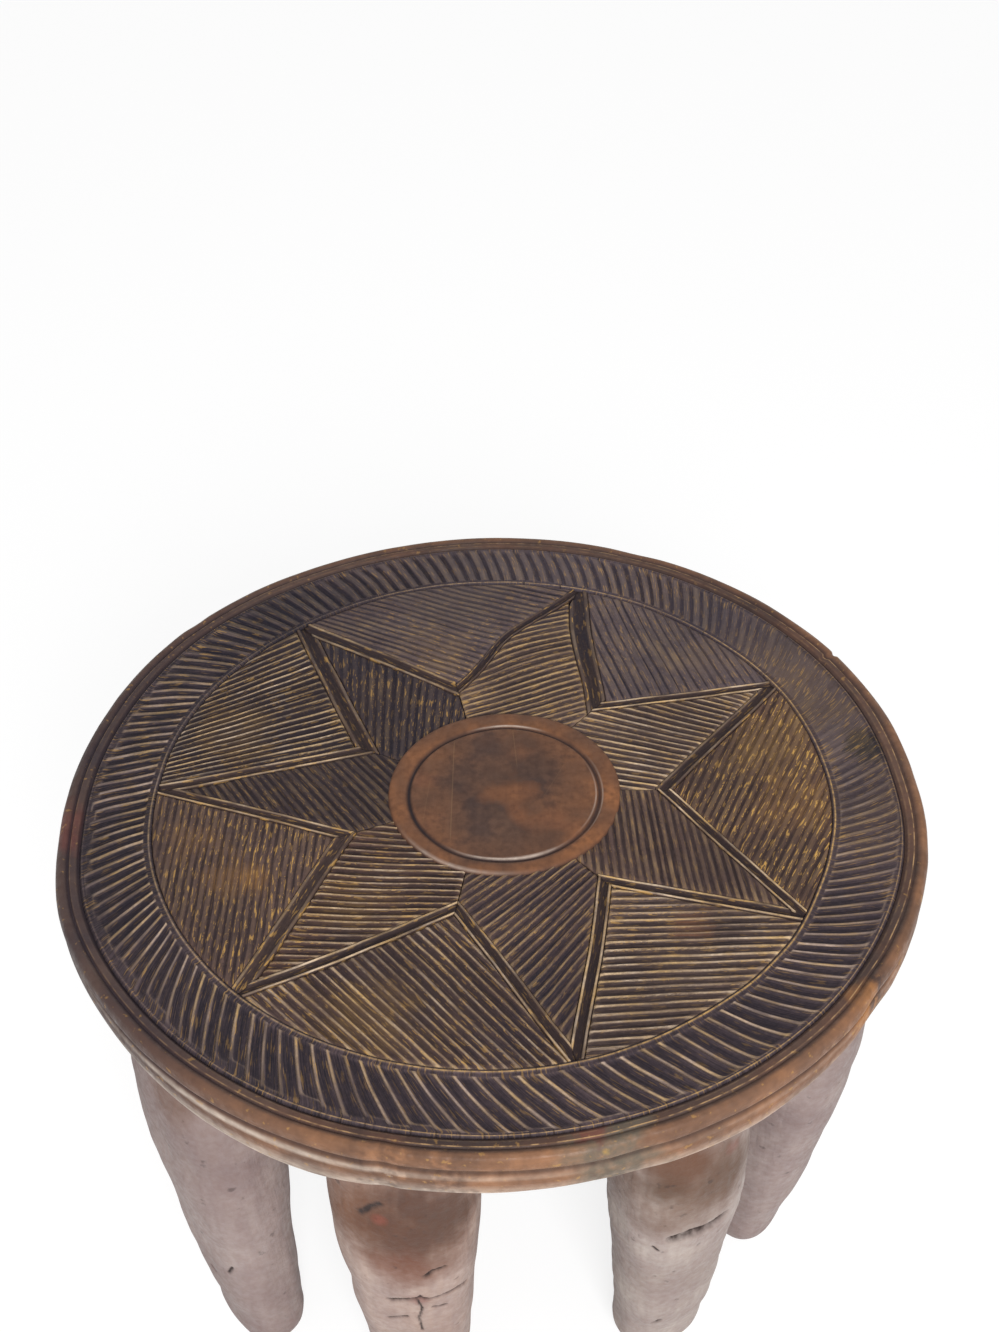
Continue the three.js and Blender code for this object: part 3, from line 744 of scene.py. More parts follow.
BAND_WOOD = ((70, 57, 61), (98, 81, 83))
BAND_RECESS = (27, 21, 30)
BAND_STAINS = (
    (-0.52, -0.74, 0.28, (22, 19, 30), 0.75), (-0.84, -0.2, 0.3, (24, 19, 28), 0.75),
    (-0.9, 0.14, 0.34, (22, 17, 26), 0.9), (-0.72, 0.5, 0.32, (23, 19, 30), 0.85),
    (-0.55, 0.68, 0.32, (22, 19, 32), 0.9), (0.9, 0.105, 0.07, (22, 18, 24), 1.7),
    (0.59, 0.7, 0.12, (30, 27, 38), 0.6), (0.62, 0.58, 0.2, (60, 54, 70), 0.4),
    (0.3, 0.84, 0.2, (60, 56, 72), 0.35), (0.8, 0.3, 0.16, (84, 64, 52), 0.5),
    (0.85, -0.12, 0.16, (72, 56, 50), 0.6), (0.8, 0.35, 0.25, (84, 66, 56), 0.45),
    (0.1, 0.87, 0.3, (96, 86, 94), 0.4),
)
border_finish = carved_finish("border_wood", RIDGE_PINK, BAND_WOOD, BAND_RECESS, 0.5, BAND_STAINS)
finished(band_mesh, band, band_marks, border_finish)


# The star's panels: seven points round the boss and seven gaps out to the ring, each hatched
# with straight gouge lines its own way. The lines fan a little, and their ridges are worn.
PANEL_RADIUS = RING_INSIDE - 0.0004
PANEL_ROW = 0.0021
INNER_TRIM = 0.048
SEAM = 0.0003
FAN_REACH = 0.06
RING_CUTS = 14
LINE_STEPS = 6
WALL_CUT = 1.2
MOST_RUBBED = 1.2

# The hatching's spare length and width before it is trimmed, what is worn off it, and how it
# grows shallow and sags along a panel's edge
PANEL_SPARE = (0.004, 0.006)
PANEL_WORN = 0.0003
PANEL_SWELL = (0.0003, 0.05)
EDGE_LIFT = 0.003
EDGE_SAG = 0.0006
EDGE_REACH = 0.0012

# The boss covers the points' inner ends, which are sunk so that none shows in its groove
BOSS_OFFSET = 0.0077
BOSS_COVER = 0.062
COVER_SLOPE = 0.004
SUNK_UNDER_BOSS = 0.0022

# Across the cut beside a ridge: how far over, and how deep
GOUGE_SECTION = ((0.2, 0.78), (0.5, 1), (0.8, 0.78))

TIP_ANGLES = (25.2, 71.8, 128.5, 179, 228.4, 281.7, 328.1)
VALLEYS = (
    (46.6, 0.386), (102.4, 0.374), (154.2, 0.333), (202, 0.361), (257.6, 0.374), (310.3, 0.387),
    (357.9, 0.41),
)

# The line to each tip from the valley before it and from the valley after it: width as a
# share of the seat's radius, how light its two ridges are, how deep its groove is
STAR_LINES = (
    ((0.034, 0.25, 1.0), (0.027, 1.1, 0.8)),
    ((0.050, 0.15, 1.1), (0.026, 0.1, 1.0)),
    ((0.040, 0.5, 0.9), (0.046, 0.2, 1.2)),
    ((0.030, 0.9, 0.9), (0.029, 0.85, 0.9)),
    ((0.038, 0.25, 0.6), (0.031, 1.05, 1.0)),
    ((0.029, 0.65, 1.0), (0.032, 0.9, 1.1)),
    ((0.030, 1.2, 1.0), (0.028, 1.1, 1.0)),
)

PALE, BROWN, SMOKE = (222, 197, 170), (142, 112, 88), (110, 95, 94)
WARM = ((74, 52, 46), (99, 71, 60))
MID = ((76, 57, 54), (100, 77, 71))
COOL = ((82, 68, 71), (107, 90, 92))
DIM = ((36, 26, 34), (52, 38, 44))
DEEP, INK = (35, 26, 28), (30, 26, 36)
LIGHT = ((88, 69, 62), (118, 95, 86))

# Each panel's hatching: name, direction in degrees, how much it fans to either side, spacing,
# share left as a ridge, depth, ridge light, colours of the ridge, the wood and the cuts, ochre
POINT_PANELS = (
    ("point_right_back", -21, -9, 0.0047, 0.18, 0.0011, 1.3, PALE, LIGHT, DEEP, 0.6),
    ("point_back", 21, 3, 0.0047, 0.2, 0.0009, 1, RIDGE_TAN, LIGHT, DEEP, 0.7),
    ("point_left_back", 90, 7, 0.0052, 0.45, 0.0009, 0.15, SMOKE, DIM, INK, 0.5),
    ("point_left", -54, 3, 0.0047, 0.45, 0.0008, 0.2, BROWN, DIM, DEEP, 0.3),
    ("point_left_front", -4, -4, 0.0046, 0.17, 0.0013, 0.88, PALE, WARM, DEEP, 0.7),
    ("point_front", 48, -14, 0.0047, 0.18, 0.0011, 0.48, RIDGE_TAN, MID, INK, 0.5),
    ("point_right_front", -87, 3, 0.0043, 0.42, 0.0008, 0.3, BROWN, MID, DEEP, 0.35),
)
GAP_PANELS = (
    ("gap_right_back", -76, 3, 0.0056, 0.7, 0.0005, 0.2, SMOKE, COOL, INK, 0.4),
    ("gap_back", -25, 5, 0.0048, 0.5, 0.0006, 0.25, BROWN, COOL, INK, 0.7),
    ("gap_left_back", 23, 12, 0.0048, 0.18, 0.0013, 1, PALE, DIM, DEEP, 0.6),
    ("gap_left", 90, 1.5, 0.0042, 0.5, 0.00045, 0.1, TAN, MID, DEEP, 0.85),
    ("gap_front", -50, -4, 0.0050, 0.16, 0.0012, 0.8, PALE, MID, DEEP, 0.8),
    ("gap_right_front", 0, -2.5, 0.0049, 0.2, 0.0010, 0.95, PALE, LIGHT, DEEP, 0.7),
    ("gap_right", 64, 3, 0.0046, 0.5, 0.00035, 0.15, TAN, WARM, DEEP, 1.4),
)
PANEL_STAINS = {
    "point_back": ((0.15, 0.65, 0.1, (44, 40, 52), 0.8),),
    "point_left_back": ((-0.45, 0.58, 0.14, (40, 34, 44), 0.8), (-0.3, 0.3, 0.15, (60, 44, 38), 0.4)),
    "point_front": ((0.08, -0.6, 0.1, (34, 30, 40), 0.8),),
    "point_left_front": ((-0.3, -0.35, 0.1, OCHRE, 0.12),),
    "gap_right_back": ((0.45, 0.55, 0.14, (60, 50, 50), 0.5), (0.55, 0.45, 0.12, (110, 90, 78), 0.4)),
    "gap_back": ((-0.1, 0.68, 0.26, (92, 80, 78), 0.5), (-0.12, 0.5, 0.12, (120, 92, 60), 0.35)),
    "gap_left_back": ((-0.62, 0.2, 0.12, (116, 90, 62), 0.35), (-0.5, 0.5, 0.1, (60, 50, 54), 0.4)),
    "gap_left": (
        (-0.58, -0.26, 0.08, (150, 108, 62), 0.45), (-0.52, -0.28, 0.05, (160, 114, 62), 0.4),
        (-0.68, -0.16, 0.08, (130, 94, 58), 0.4), (-0.5, -0.1, 0.12, (52, 38, 38), 0.6),
        (-0.56, -0.46, 0.14, (48, 36, 40), 0.65), (-0.72, -0.28, 0.08, (54, 40, 40), 0.5),
    ),
    "gap_front": (
        (-0.26, -0.66, 0.13, (130, 100, 64), 0.4), (-0.1, -0.6, 0.12, (56, 42, 38), 0.4),
        (0.02, -0.72, 0.09, (40, 34, 46), 0.5),
    ),
    "gap_right_front": ((0.43, -0.43, 0.06, (120, 80, 56), 0.6),),
    "gap_right": (
        (0.68, 0.12, 0.16, (140, 106, 64), 0.5), (0.7, -0.08, 0.12, (146, 106, 62), 0.45),
        (0.64, -0.28, 0.15, (56, 42, 38), 0.75), (0.54, 0, 0.11, (60, 45, 40), 0.6),
    ),
}


def polar(radius, degrees):
    return Vector((radius * math.cos(math.radians(degrees)), radius * math.sin(math.radians(degrees)), 0))


tips = [polar(RING_INSIDE, angle) for angle in TIP_ANGLES]
valleys = [polar(share * SEAT_RADIUS, angle) for angle, share in VALLEYS]


def side_cut(first, second, inner, inset):
    """Place and outward direction of a straight edge, set in towards a point inside."""
    out = (second - first).cross(Vector((0, 0, 1))).normalized()
    if (inner - first).dot(out) > 0:
        out = -out
    return first - out * inset, out


def slab(name, sides, low, high, row_length, origin, along, across, bend, cuts):
    """A closed slab with an underside at -1, cut from a grid of columns that run from low to high.

    Gives its mesh, its points, which of them are on top, and their places across and along.
    """
    shape = bmesh.new()
    last, rows = len(sides) - 1, int((high - low) / row_length)
    bmesh.ops.create_grid(shape, x_segments=last, y_segments=rows, size=1)
    for vert in shape.verts:
        way = low + (vert.co.y + 1) / 2 * (high - low)
        side = sides[round((vert.co.x + 1) / 2 * last)] * (1 + bend * way)
        vert.co = origin + along * way + across * side
    for place, outwards in cuts:
        everything = shape.verts[:] + shape.edges[:] + shape.faces[:]
        bmesh.ops.bisect_plane(
            shape, geom=everything, dist=1e-6, plane_co=place, plane_no=outwards, clear_outer=True,
        )
    border = [edge for edge in shape.edges if edge.is_boundary]
    made = bmesh.ops.extrude_edge_only(shape, edges=border)["geom"]
    lower = [item for item in made if isinstance(item, bmesh.types.BMVert)]
    bmesh.ops.translate(shape, verts=lower, vec=(0, 0, -1))
    bmesh.ops.edgeloop_fill(shape, edges=[edge for edge in shape.edges if edge.is_boundary])
    bmesh.ops.recalc_face_normals(shape, faces=shape.faces)
    mesh, points = mesh_of(shape, name)
    flat = points[:, :2] - np.array(origin[:2])
    way = flat @ np.array(along[:2])
    side = flat @ np.array(across[:2]) / (1 + bend * way)
    return mesh, points, points[:, 2] > -0.5, side, way


def hatched_panel(rule, corners, cuts, middle, seed):
    """A panel cut to its straight sides, with its gouge lines sunk into the dished surface."""
    name, direction, fan, spacing, ridge_share, depth, light, ridge, wood, recess, ochre = rule
    draw = random.Random(seed)
    along = polar(1, direction)
    across = polar(1, direction + 90)
    bend = math.tan(math.radians(fan)) / FAN_REACH
    ways = [(corner - middle).dot(along) for corner in corners]
    sides = [(corner - middle).dot(across) / (1 + bend * way) for corner, way in zip(corners, ways)]
    reach = PANEL_SPARE[0] + max(map(abs, ways))
    line_count = math.ceil((PANEL_SPARE[1] + max(map(abs, sides))) / spacing)
    starts = [
        (i + draw.uniform(-STROKE_DRIFT, STROKE_DRIFT) - ridge_share / 2) * spacing
        for i in range(-line_count, line_count + 2)
    ]
    lines = []
    for start, end in zip(starts, starts[1:]):
        left = (end - start) * ridge_share * draw.uniform(0.8, 1.2)
        gap = end - start - left
        full = draw.uniform(0.8, 1.1)
        lit = light * draw.uniform(0.6, 1.15)
        lines += [(start, 0.14, lit), (start + 0.5 * left, 0, lit), (start + left, 0.14, lit)]
        lines += [(start + left + at * gap, share * full, lit) for at, share in GOUGE_SECTION]
    column_at, column_cut, column_light = np.array(lines).T
    mesh, points, top, u, v = slab(
        name, column_at, -reach, reach, PANEL_ROW, middle, along, across, bend, cuts,
    )
    x, y = points[:, 0].copy(), points[:, 1].copy()
    line = np.floor(np.interp(u, column_at, np.arange(len(lines))) / LINE_STEPS)
    lit = np.interp(u, column_at, column_light) * (0.85 + 0.25 * wander(u * 2, v, 0.07, seed + 4))
    uneven = 1 + 0.12 * wander(u * 2, v, 0.06, seed + 1) + 0.1 * wander(x, y, 0.05, seed + 2)
    edge = np.min([(np.array(place[:2]) - points[:, :2]) @ np.array(out[:2]) for place, out in cuts], 0)
    lifted = 0.35 + 0.65 * unit(edge / EDGE_LIFT)
    cut = np.interp(u, column_at, column_cut) * uneven * lifted
    hand = PANEL_SWELL[0] * wander(x, y, PANEL_SWELL[1], seed + 3)
    sag = EDGE_SAG * unit(1 - edge / EDGE_REACH)
    covered = SUNK_UNDER_BOSS * unit((BOSS_COVER - np.hypot(x - BOSS_OFFSET, y)) / COVER_SLOPE)
    height = dish(np.hypot(x, y)) - depth * cut + hand - PANEL_WORN - sag - covered
    points[:, 2] = np.where(top, height, CARVED_FOOT)
    warp(points)
    marks = {
        "cut": np.where(top, np.clip(cut, 0, WALL_CUT), WALL_CUT),
        "rub": np.clip(lit, 0, MOST_RUBBED),
        "streak": np.column_stack([u, v, line + seed]),
    }
    finish = carved_finish(name + "_wood", ridge, wood, recess, ochre, PANEL_STAINS.get(name, ()))
    finished(mesh, points, marks, finish)


for k, tip in enumerate(tips):
    before, after = valleys[k - 1], valleys[k]
    middle = (tip * 0.45 + before * 0.75 + after * 0.75) / 2
    (low_width, *_), (high_width, *_) = STAR_LINES[k]
    cuts = [
        side_cut(before, tip, middle, low_width * SEAT_RADIUS / 2 + SEAM),
        side_cut(after, tip, middle, high_width * SEAT_RADIUS / 2 + SEAM),
        side_cut(Vector(), before, middle, SEAM),
        side_cut(Vector(), after, middle, SEAM),
        (polar(INNER_TRIM, TIP_ANGLES[k]), polar(-1, TIP_ANGLES[k])),
        (polar(PANEL_RADIUS, TIP_ANGLES[k]), polar(1, TIP_ANGLES[k])),
    ]
    hatched_panel(POINT_PANELS[k], (Vector(), before, after, tip), cuts, middle, 100 + 10 * k)

for k, valley in enumerate(valleys):
    following = (k + 1) % len(tips)
    first, second = tips[k], tips[following]
    low_angle = TIP_ANGLES[k]
    arc = (TIP_ANGLES[following] - low_angle) % 360
    middle = (valley + first + second) / 3
    outs = [polar(1, low_angle + arc * i / RING_CUTS) for i in range(RING_CUTS + 1)]
    cuts = [
        side_cut(valley, first, middle, STAR_LINES[k][1][0] * SEAT_RADIUS / 2 + SEAM),
        side_cut(valley, second, middle, STAR_LINES[following][0][0] * SEAT_RADIUS / 2 + SEAM),
        *((out * PANEL_RADIUS, out) for out in outs),
    ]
    outermost = [polar(RING_INSIDE, low_angle + arc * i / 4) for i in (1, 2, 3)]
    hatched_panel(GAP_PANELS[k], (valley, first, second, *outermost), cuts, middle, 300 + 10 * k)


# The star's outline: from every valley to the tips beside it runs a broad groove between two
# thin ridges, cut with a wider gouge than the hatching. The strips meet in mitres.
LINE_DEPTH = 0.0015
LINE_ROW = 0.002
LINE_SPARE = 0.02

# Section of a strip: place from side to side, how deep in the cut, how far rubbed
LINE_SECTION = (
    (-1, 0.6, 0.3), (-0.9, 0.06, 1), (-0.78, 0, 1), (-0.64, 0.08, 1), (-0.5, 0.8, 0), (-0.2, 1, 0),
    (0.2, 1, 0), (0.5, 0.8, 0), (0.64, 0.08, 1), (0.78, 0, 1), (0.9, 0.06, 1), (1, 0.6, 0.3),
)
LINE_WOOD = ((66, 48, 44), (88, 67, 59))
LINE_STAINS = (
    (0.22, 0.6, 0.17, (36, 31, 42), 0.75), (-0.02, 0.55, 0.17, (36, 31, 42), 0.7),
    (-0.45, 0.5, 0.2, (40, 33, 40), 0.6), (-0.75, -0.3, 0.25, (44, 36, 40), 0.4),
)


def star_line(name, valley, tip, width, light, groove, seed):
    """One strip of the outline, mitred at the valley and at the tip."""
    run = tip - valley
    along = run.normalized()
    across = along.cross(Vector((0, 0, 1)))
    side_at, side_cuts, side_light = np.array(LINE_SECTION).T
    cuts = [side_cut(Vector(), valley, tip, SEAM / 2), side_cut(Vector(), tip, valley, SEAM / 2)]
    cuts.append((tip.normalized() * PANEL_RADIUS, tip.normalized()))
    low, high = -LINE_SPARE, run.length + LINE_SPARE
    mesh, points, top, side, way = slab(
        name, side_at * width / 2, low, high, LINE_ROW, valley, along, across, 0, cuts,
    )
    side = side / (width / 2)
    x, y = points[:, 0].copy(), points[:, 1].copy()
    cut = np.interp(side, side_at, side_cuts)
    lit = np.interp(side, side_at, side_light) * light
    uneven = groove * (1 + 0.15 * wander(x, y, 0.05, seed))
    points[:, 2] = np.where(top, dish(np.hypot(x, y)) - LINE_DEPTH * cut * uneven - 0.0001, CARVED_FOOT)
    warp(points)
    marks = {
        "cut": np.where(top, cut * min(1, 0.35 + 0.6 * groove), WALL_CUT),
        "rub": np.clip(lit * (0.8 + 0.35 * wander(way, side * 0.01, 0.05, seed + 1)), 0, MOST_RUBBED),
        "streak": np.column_stack([side * 0.004, way, np.full(len(way), float(seed))]),
    }
    finished(mesh, points, marks, line_finish)


line_finish = carved_finish("star_line_wood", PALE, LINE_WOOD, DEEP, 0.8, LINE_STAINS)
for k, tip in enumerate(tips):
    for valley, (share, light, groove), side in zip((valleys[k - 1], valleys[k]), STAR_LINES[k], "ab"):
        seed = 500 + 10 * k + ord(side)
        star_line(f"star_line_{k + 1}{side}", valley, tip, share * SEAT_RADIUS, light, groove, seed)


# The boss: a low disc a little off the middle, left standing when the dish was cut. It has a
# smoothed shoulder and one incised circle, and its face is rubbed to a warm brown.
BOSS_RADIUS = 0.066
BOSS_RISE = 0.0012
BOSS_STEPS = 256
BOSS_TOP = dish(BOSS_RADIUS) + BOSS_RISE
BOSS_FLAT = 0.056
BOSS_SHOULDER = 0.0555
BOSS_SQUASH = 0.985
BOSS_SWELL = (0.00018, 0.035)
BOSS_WOOD = ((70, 50, 41), (100, 71, 55))
BOSS_WARM = (158, 102, 62)
BOSS_GRIME = (58, 42, 38)
BOSS_SHADE = (44, 34, 36)
BOSS_GLINT = (224, 206, 192)

# Section from the middle out: radius, depth under the boss's top, how far it is in shade
BOSS_SECTION = (
    (0, 0.0003, 0), (0.012, 0.0003, 0), (0.024, 0.0002, 0), (0.036, 0.0001, 0), (0.046, 0.0001, 0),
    (0.0512, 0.0002, 0), (0.0519, 0.0003, 0), (0.0526, 0.0006, 0.3), (0.0534, 0.0015, 0.9),
    (0.0541, 0.0017, 1), (0.0549, 0.0012, 0.5), (0.0556, 0.0006, 0.1), (0.0563, 0.0002, 0), (0.058, 0, 0),
    (0.0605, 0.0001, 0), (0.063, 0.0003, 0), (0.0648, 0.0008, 0.1), (0.0657, 0.0018, 0.6),
    (0.0661, 0.003, 1),
)

# Painted highlights on the circle and the shoulder: radius, middle and reach in degrees, share.
# Rubbed and dull sides of the face: middle, reach, share
BOSS_GLINTS = (
    (0.0526, 272, 46, 0.8), (0.0556, 86, 28, 0.8), (0.0556, 350, 50, 0.4), (0.0519, 352, 42, 0.4),
    (0.0648, 243, 44, 0.45), (0.0519, 285, 20, 0.4),
)
BOSS_RUBBED = ((350, 70, 0.35), (178, 40, 0.2), (265, 60, -0.2))

# Dark and rubbed patches of the boss's face: place, reach, colour, share. Scratches: place, lean,
# from and to, share.
BOSS_PATCHES = (
    (0.028, 0.006, 0.022, (48, 36, 36), 0.75), (-0.018, 0.002, 0.02, (50, 38, 38), 0.7),
    (-0.002, 0.034, 0.018, (54, 42, 42), 0.6), (-0.004, -0.03, 0.02, (54, 42, 42), 0.6),
    (0.0107, -0.001, 0.016, (150, 96, 60), 0.7), (0.016, -0.022, 0.01, (150, 94, 58), 0.5),
    (0.036, -0.03, 0.014, (136, 86, 58), 0.4), (0.018, 0.03, 0.01, (132, 86, 58), 0.45),
    (-0.04, 0.006, 0.012, (132, 84, 60), 0.45), (-0.038, -0.024, 0.012, (128, 84, 58), 0.4),
    (0.02, 0.05, 0.012, (150, 100, 60), 0.4),
)
BOSS_SCRATCHES = (
    (-0.0215, 0.02, -0.042, 0.042, 0.3), (0.0165, -0.06, 0.014, 0.05, 0.25),
    (0.034, 0.5, -0.01, 0.02, 0.12), (-0.035, 0.1, -0.03, 0.01, 0.12),
)

boss_section = [(radius, BOSS_TOP - under) for radius, under, _ in BOSS_SECTION]
boss_section = [(0, CARVED_FOOT), (BOSS_SECTION[-1][0], CARVED_FOOT), *reversed(boss_section)]
boss_mesh, boss = mesh_of(turned(boss_section, BOSS_STEPS), "boss")
radius = np.hypot(boss[:, 0], boss[:, 1])
top = boss[:, 2] > CARVED_FOOT + 0.0005
section = np.array(BOSS_SECTION)
cut = np.where(top, np.interp(radius, section[:, 0], section[:, 2]), 1)
boss[:, 2] += top * (BOSS_SWELL[0] * wander(boss[:, 0], boss[:, 1], BOSS_SWELL[1], 41))
turn = np.degrees(np.arctan2(boss[:, 1], boss[:, 0])) % 360
# Painted shade: the circle is darker on its left, where its walls face away from the light
painted_left_shade = np.where(radius < BOSS_FLAT, 1 + 0.35 * bump_round(turn, 185, 60), 1)
glint = sum(
    (np.abs(radius - place) < HAIRLINE) * share * bump_round(turn, middle, reach)
    for place, middle, reach, share in BOSS_GLINTS
)
rubbed = 0.15 + 0.35 * unit((radius - 0.028) / 0.02)
rubbed = rubbed + 0.25 * unit((radius - BOSS_SHOULDER) / 0.001)
for middle, reach, share in BOSS_RUBBED:
    rubbed = rubbed + share * bump_round(turn, middle, reach)
boss_marks = {"cut": cut * painted_left_shade, "glint": glint * top, "rubbed": rubbed * top}
boss[:, 0] += BOSS_OFFSET
stretch = 1 + 0.004 * wander(boss[:, 0], boss[:, 1], 0.11, 42)
boss[:, 0] = BOSS_OFFSET + (boss[:, 0] - BOSS_OFFSET) * stretch
inner = unit((BOSS_COVER - radius) / 0.005)
boss[:, 1] = boss[:, 1] * stretch * BOSS_SQUASH - 0.001 - 0.002 * inner

boss_finish = f = Finish("boss_wood")
broad, patchy, fine, mottled = f.noises(
    (24, 3, 0.36, 0.64), (60, 4, 0.36, 0.64), (240, 4, 0.3, 0.7), (120, 4, 0.36, 0.64),
)
flow = f.noise(f.stretched(f.place, (420, 60, 60)), 1, 3, 0.32, 0.68)
cut, glint, rubbed = map(f.mark, boss_marks)
side_x, side_y = (f.node("ShaderNodeSeparateXYZ", {}, {0: f.place}, axis) for axis in "XY")
f.tone = f.blend(broad, *BOSS_WOOD)
f.lay(rubbed * (0.35 + 0.75 * patchy), BOSS_WARM)
f.patches(BOSS_PATCHES, patchy)
for x, lean, low, high, share in BOSS_SCRATCHES:
    line = (1 - (side_x - x - side_y * lean).size() * 2200).held()
    reach = f.spread(((side_y - 0.5 * (low + high)).size() - 0.5 * (high - low)) * -1, 0, 0.006)
    f.lay(line * reach * share * (0.3 + 0.7 * fine), TAN)
f.lay(fine * 0.3 + flow * 0.1 + mottled * 0.25, BOSS_GRIME)
# Painted shade in the circle and at the foot of the shoulder
f.lay(cut * 0.85, BOSS_SHADE)
# Painted highlights on the circle and the shoulder
f.lay(glint * (0.5 + 0.5 * fine), BOSS_GLINT)
f.close(0.48 + fine * 0.22 + cut * 0.2, fine * 0.6 + flow * 0.4, 0.00018)
finished(boss_mesh, boss, boss_marks, boss_finish)


# The legs: eleven bowed, tapering, squared-oval legs, adzed and rubbed smooth, with rounded
# feet. Their pale wood is stained brown towards the seat, and the front ones carry checks and
# knife marks. Finer points are given to the legs that do.
LEG_WIDTH = 0.074
LEG_DEPTH = 0.067
LEG_REACH = SEAT_RADIUS - RIM_TUCK - 0.0025
LEG_CORE = LEG_REACH - LEG_DEPTH / 2
LEG_POWER = 5 / 6
SOLE_ROUNDING = 0.022
LEG_ROOT = 0.002
LEG_WORN = 0.0006
LEG_SWELLS = ((0.0005, 0.05), (0.0002, 0.022))
LEG_ROWS = 100
LEG_STEPS = 80
SCARRED_FINER = 3
LEG_SHARES = (
    (0, 0.97, 1, 1), (0.1, 0.99, 0.975, 1.012), (0.22, 1, 0.94, 1.022), (0.36, 0.96, 0.89, 1.018),
    (0.5, 0.89, 0.83, 1.006), (0.64, 0.82, 0.76, 0.992), (0.78, 0.765, 0.685, 0.977),
    (0.912, 0.725, 0.6, 0.955), (1, 0.725, 0.6, 0.955),
)
SOLE_SHARES = ((0, 1), (0.4, 0.95), (0.75, 0.82), (1, 0.52))

# Each leg: its angle, the drift of its foot round and out as shares of the seat's radius, how
# far its sides stand out clockwise and anticlockwise, how far down its brown stain comes and how
# strong that is, and which wood it shows
LEG_PLACES = (
    (222.2, 0.12, 0.064, 1.36, 1.06, 0.16, 0.5, 0), (257, -0.002, 0.011, 1.05, 1.04, 0.1, 0.7, 1),
    (295.8, 0.012, -0.011, 0.93, 1.04, 0.1, 0.6, 2), (324.5, -0.004, -0.058, 1, 0.88, 0.08, 0.4, 0),
    (356.5, 0.01, -0.03, 1, 1, 0.35, 0.8, 1), (29, -0.015, -0.01, 1, 1, 0.3, 0.7, 0),
    (61.5, 0.02, 0.01, 1, 1, 0.4, 0.9, 2), (93, -0.01, -0.02, 1, 1, 0.25, 0.7, 1),
    (125.5, 0.015, 0, 1, 1, 0.45, 0.9, 0), (157, 0, 0.015, 1, 1, 0.3, 0.7, 2),
    (188.5, -0.02, -0.02, 1, 1, 0.25, 0.6, 1),
)

# Checks and knife marks in the front legs: leg, width, depth and the points they run through
LEG_SCARS = (
    (2, 0.0022, 0.002, (
        (-0.0574, -0.2261, 0.128), (-0.0508, -0.2283, 0.1318), (-0.0405, -0.2304, 0.1365),
        (-0.0368, -0.2295, 0.1339), (-0.0289, -0.228, 0.1355), (-0.0223, -0.2243, 0.1355),
        (-0.0181, -0.2187, 0.131),
    )),
    (2, 0.0017, 0.0016, (
        (-0.0375, -0.2312, 0.1592), (-0.0328, -0.2308, 0.1646), (-0.0274, -0.2296, 0.1659),
    )),
    (2, 0.001, 0.001, (
        (-0.0405, -0.2305, 0.14), (-0.0424, -0.2297, 0.1339), (-0.0405, -0.2283, 0.1222),
        (-0.0428, -0.2272, 0.111), (-0.0418, -0.2263, 0.096),
    )),
    (2, 0.0015, 0.0014, ((-0.0346, -0.2279, 0.123), (-0.0285, -0.2262, 0.1218))),
    (2, 0.0013, 0.0012, ((-0.0591, -0.2241, 0.1056), (-0.049, -0.2266, 0.1114))),
    (2, 0.0028, 0.0003, (
        (-0.0656, -0.2247, 0.2103), (-0.0609, -0.2259, 0.2166), (-0.0563, -0.227, 0.2211),
    )),
    (3, 0.005, 0.0034, (
        (0.1139, -0.2028, 0.1609), (0.1088, -0.2059, 0.1588), (0.103, -0.209, 0.1584),
        (0.0954, -0.2124, 0.1609), (0.088, -0.2146, 0.16),
    )),
    (3, 0.0012, 0.0006, ((0.0805, -0.2144, 0.1488), (0.0776, -0.2141, 0.1526))),
    (3, 0.0018, 0.0016, ((0.0833, -0.2031, 0.0499), (0.0869, -0.2038, 0.0549))),
    (1, 0.0016, 0.0012, ((-0.1624, -0.1749, 0.0719), (-0.1607, -0.1766, 0.0703))),
    (1, 0.0014, 0.001, ((-0.1478, -0.1853, 0.0881), (-0.1506, -0.1844, 0.0815))),
)

# Stains on the front legs, by leg: place, reach, colour, share
LEG_PATCHES = {
    1: (
        (-0.1623, -0.1688, 0.2241, 0.022, (112, 84, 68), 0.5),
        (-0.133, -0.181, 0.172, 0.024, (116, 98, 98), 0.4),
    ),
    2: (
        (-0.05, -0.229, 0.205, 0.058, (112, 80, 62), 0.85),
        (-0.066, -0.2255, 0.212, 0.024, (112, 74, 52), 0.5),
        (-0.038, -0.23, 0.222, 0.03, (70, 46, 37), 0.85),
        (-0.045, -0.231, 0.192, 0.028, (78, 50, 38), 0.85),
        (-0.05, -0.23, 0.166, 0.022, (112, 70, 54), 0.6),
        (-0.026, -0.228, 0.207, 0.022, (76, 56, 47), 0.65),
        (-0.0566, -0.2282, 0.2091, 0.0046, (134, 66, 52), 0.5),
        (-0.041, -0.2297, 0.134, 0.008, (118, 66, 60), 0.5),
    ),
    3: (
        (0.094, -0.214, 0.205, 0.046, (108, 84, 69), 0.8),
        (0.089, -0.2153, 0.222, 0.026, (92, 60, 42), 0.8),
        (0.109, -0.2075, 0.203, 0.024, (86, 66, 54), 0.7),
        (0.08, -0.2156, 0.206, 0.018, (78, 60, 48), 0.6), (0.098, -0.212, 0.18, 0.02, (110, 88, 76), 0.5),
        (0.116, -0.203, 0.222, 0.006, (126, 66, 56), 0.35),
    ),
    4: (
        (0.15, -0.149, 0.154, 0.03, (98, 80, 82), 0.4),
    ),
}
LEG_WOODS = (
    ((138, 122, 118), (164, 149, 144)), ((162, 139, 127), (192, 171, 160)),
    ((150, 136, 129), (178, 166, 158)),
)
LEG_MAUVE = (126, 108, 108)
LEG_STAIN = ((100, 62, 42), (58, 40, 34))
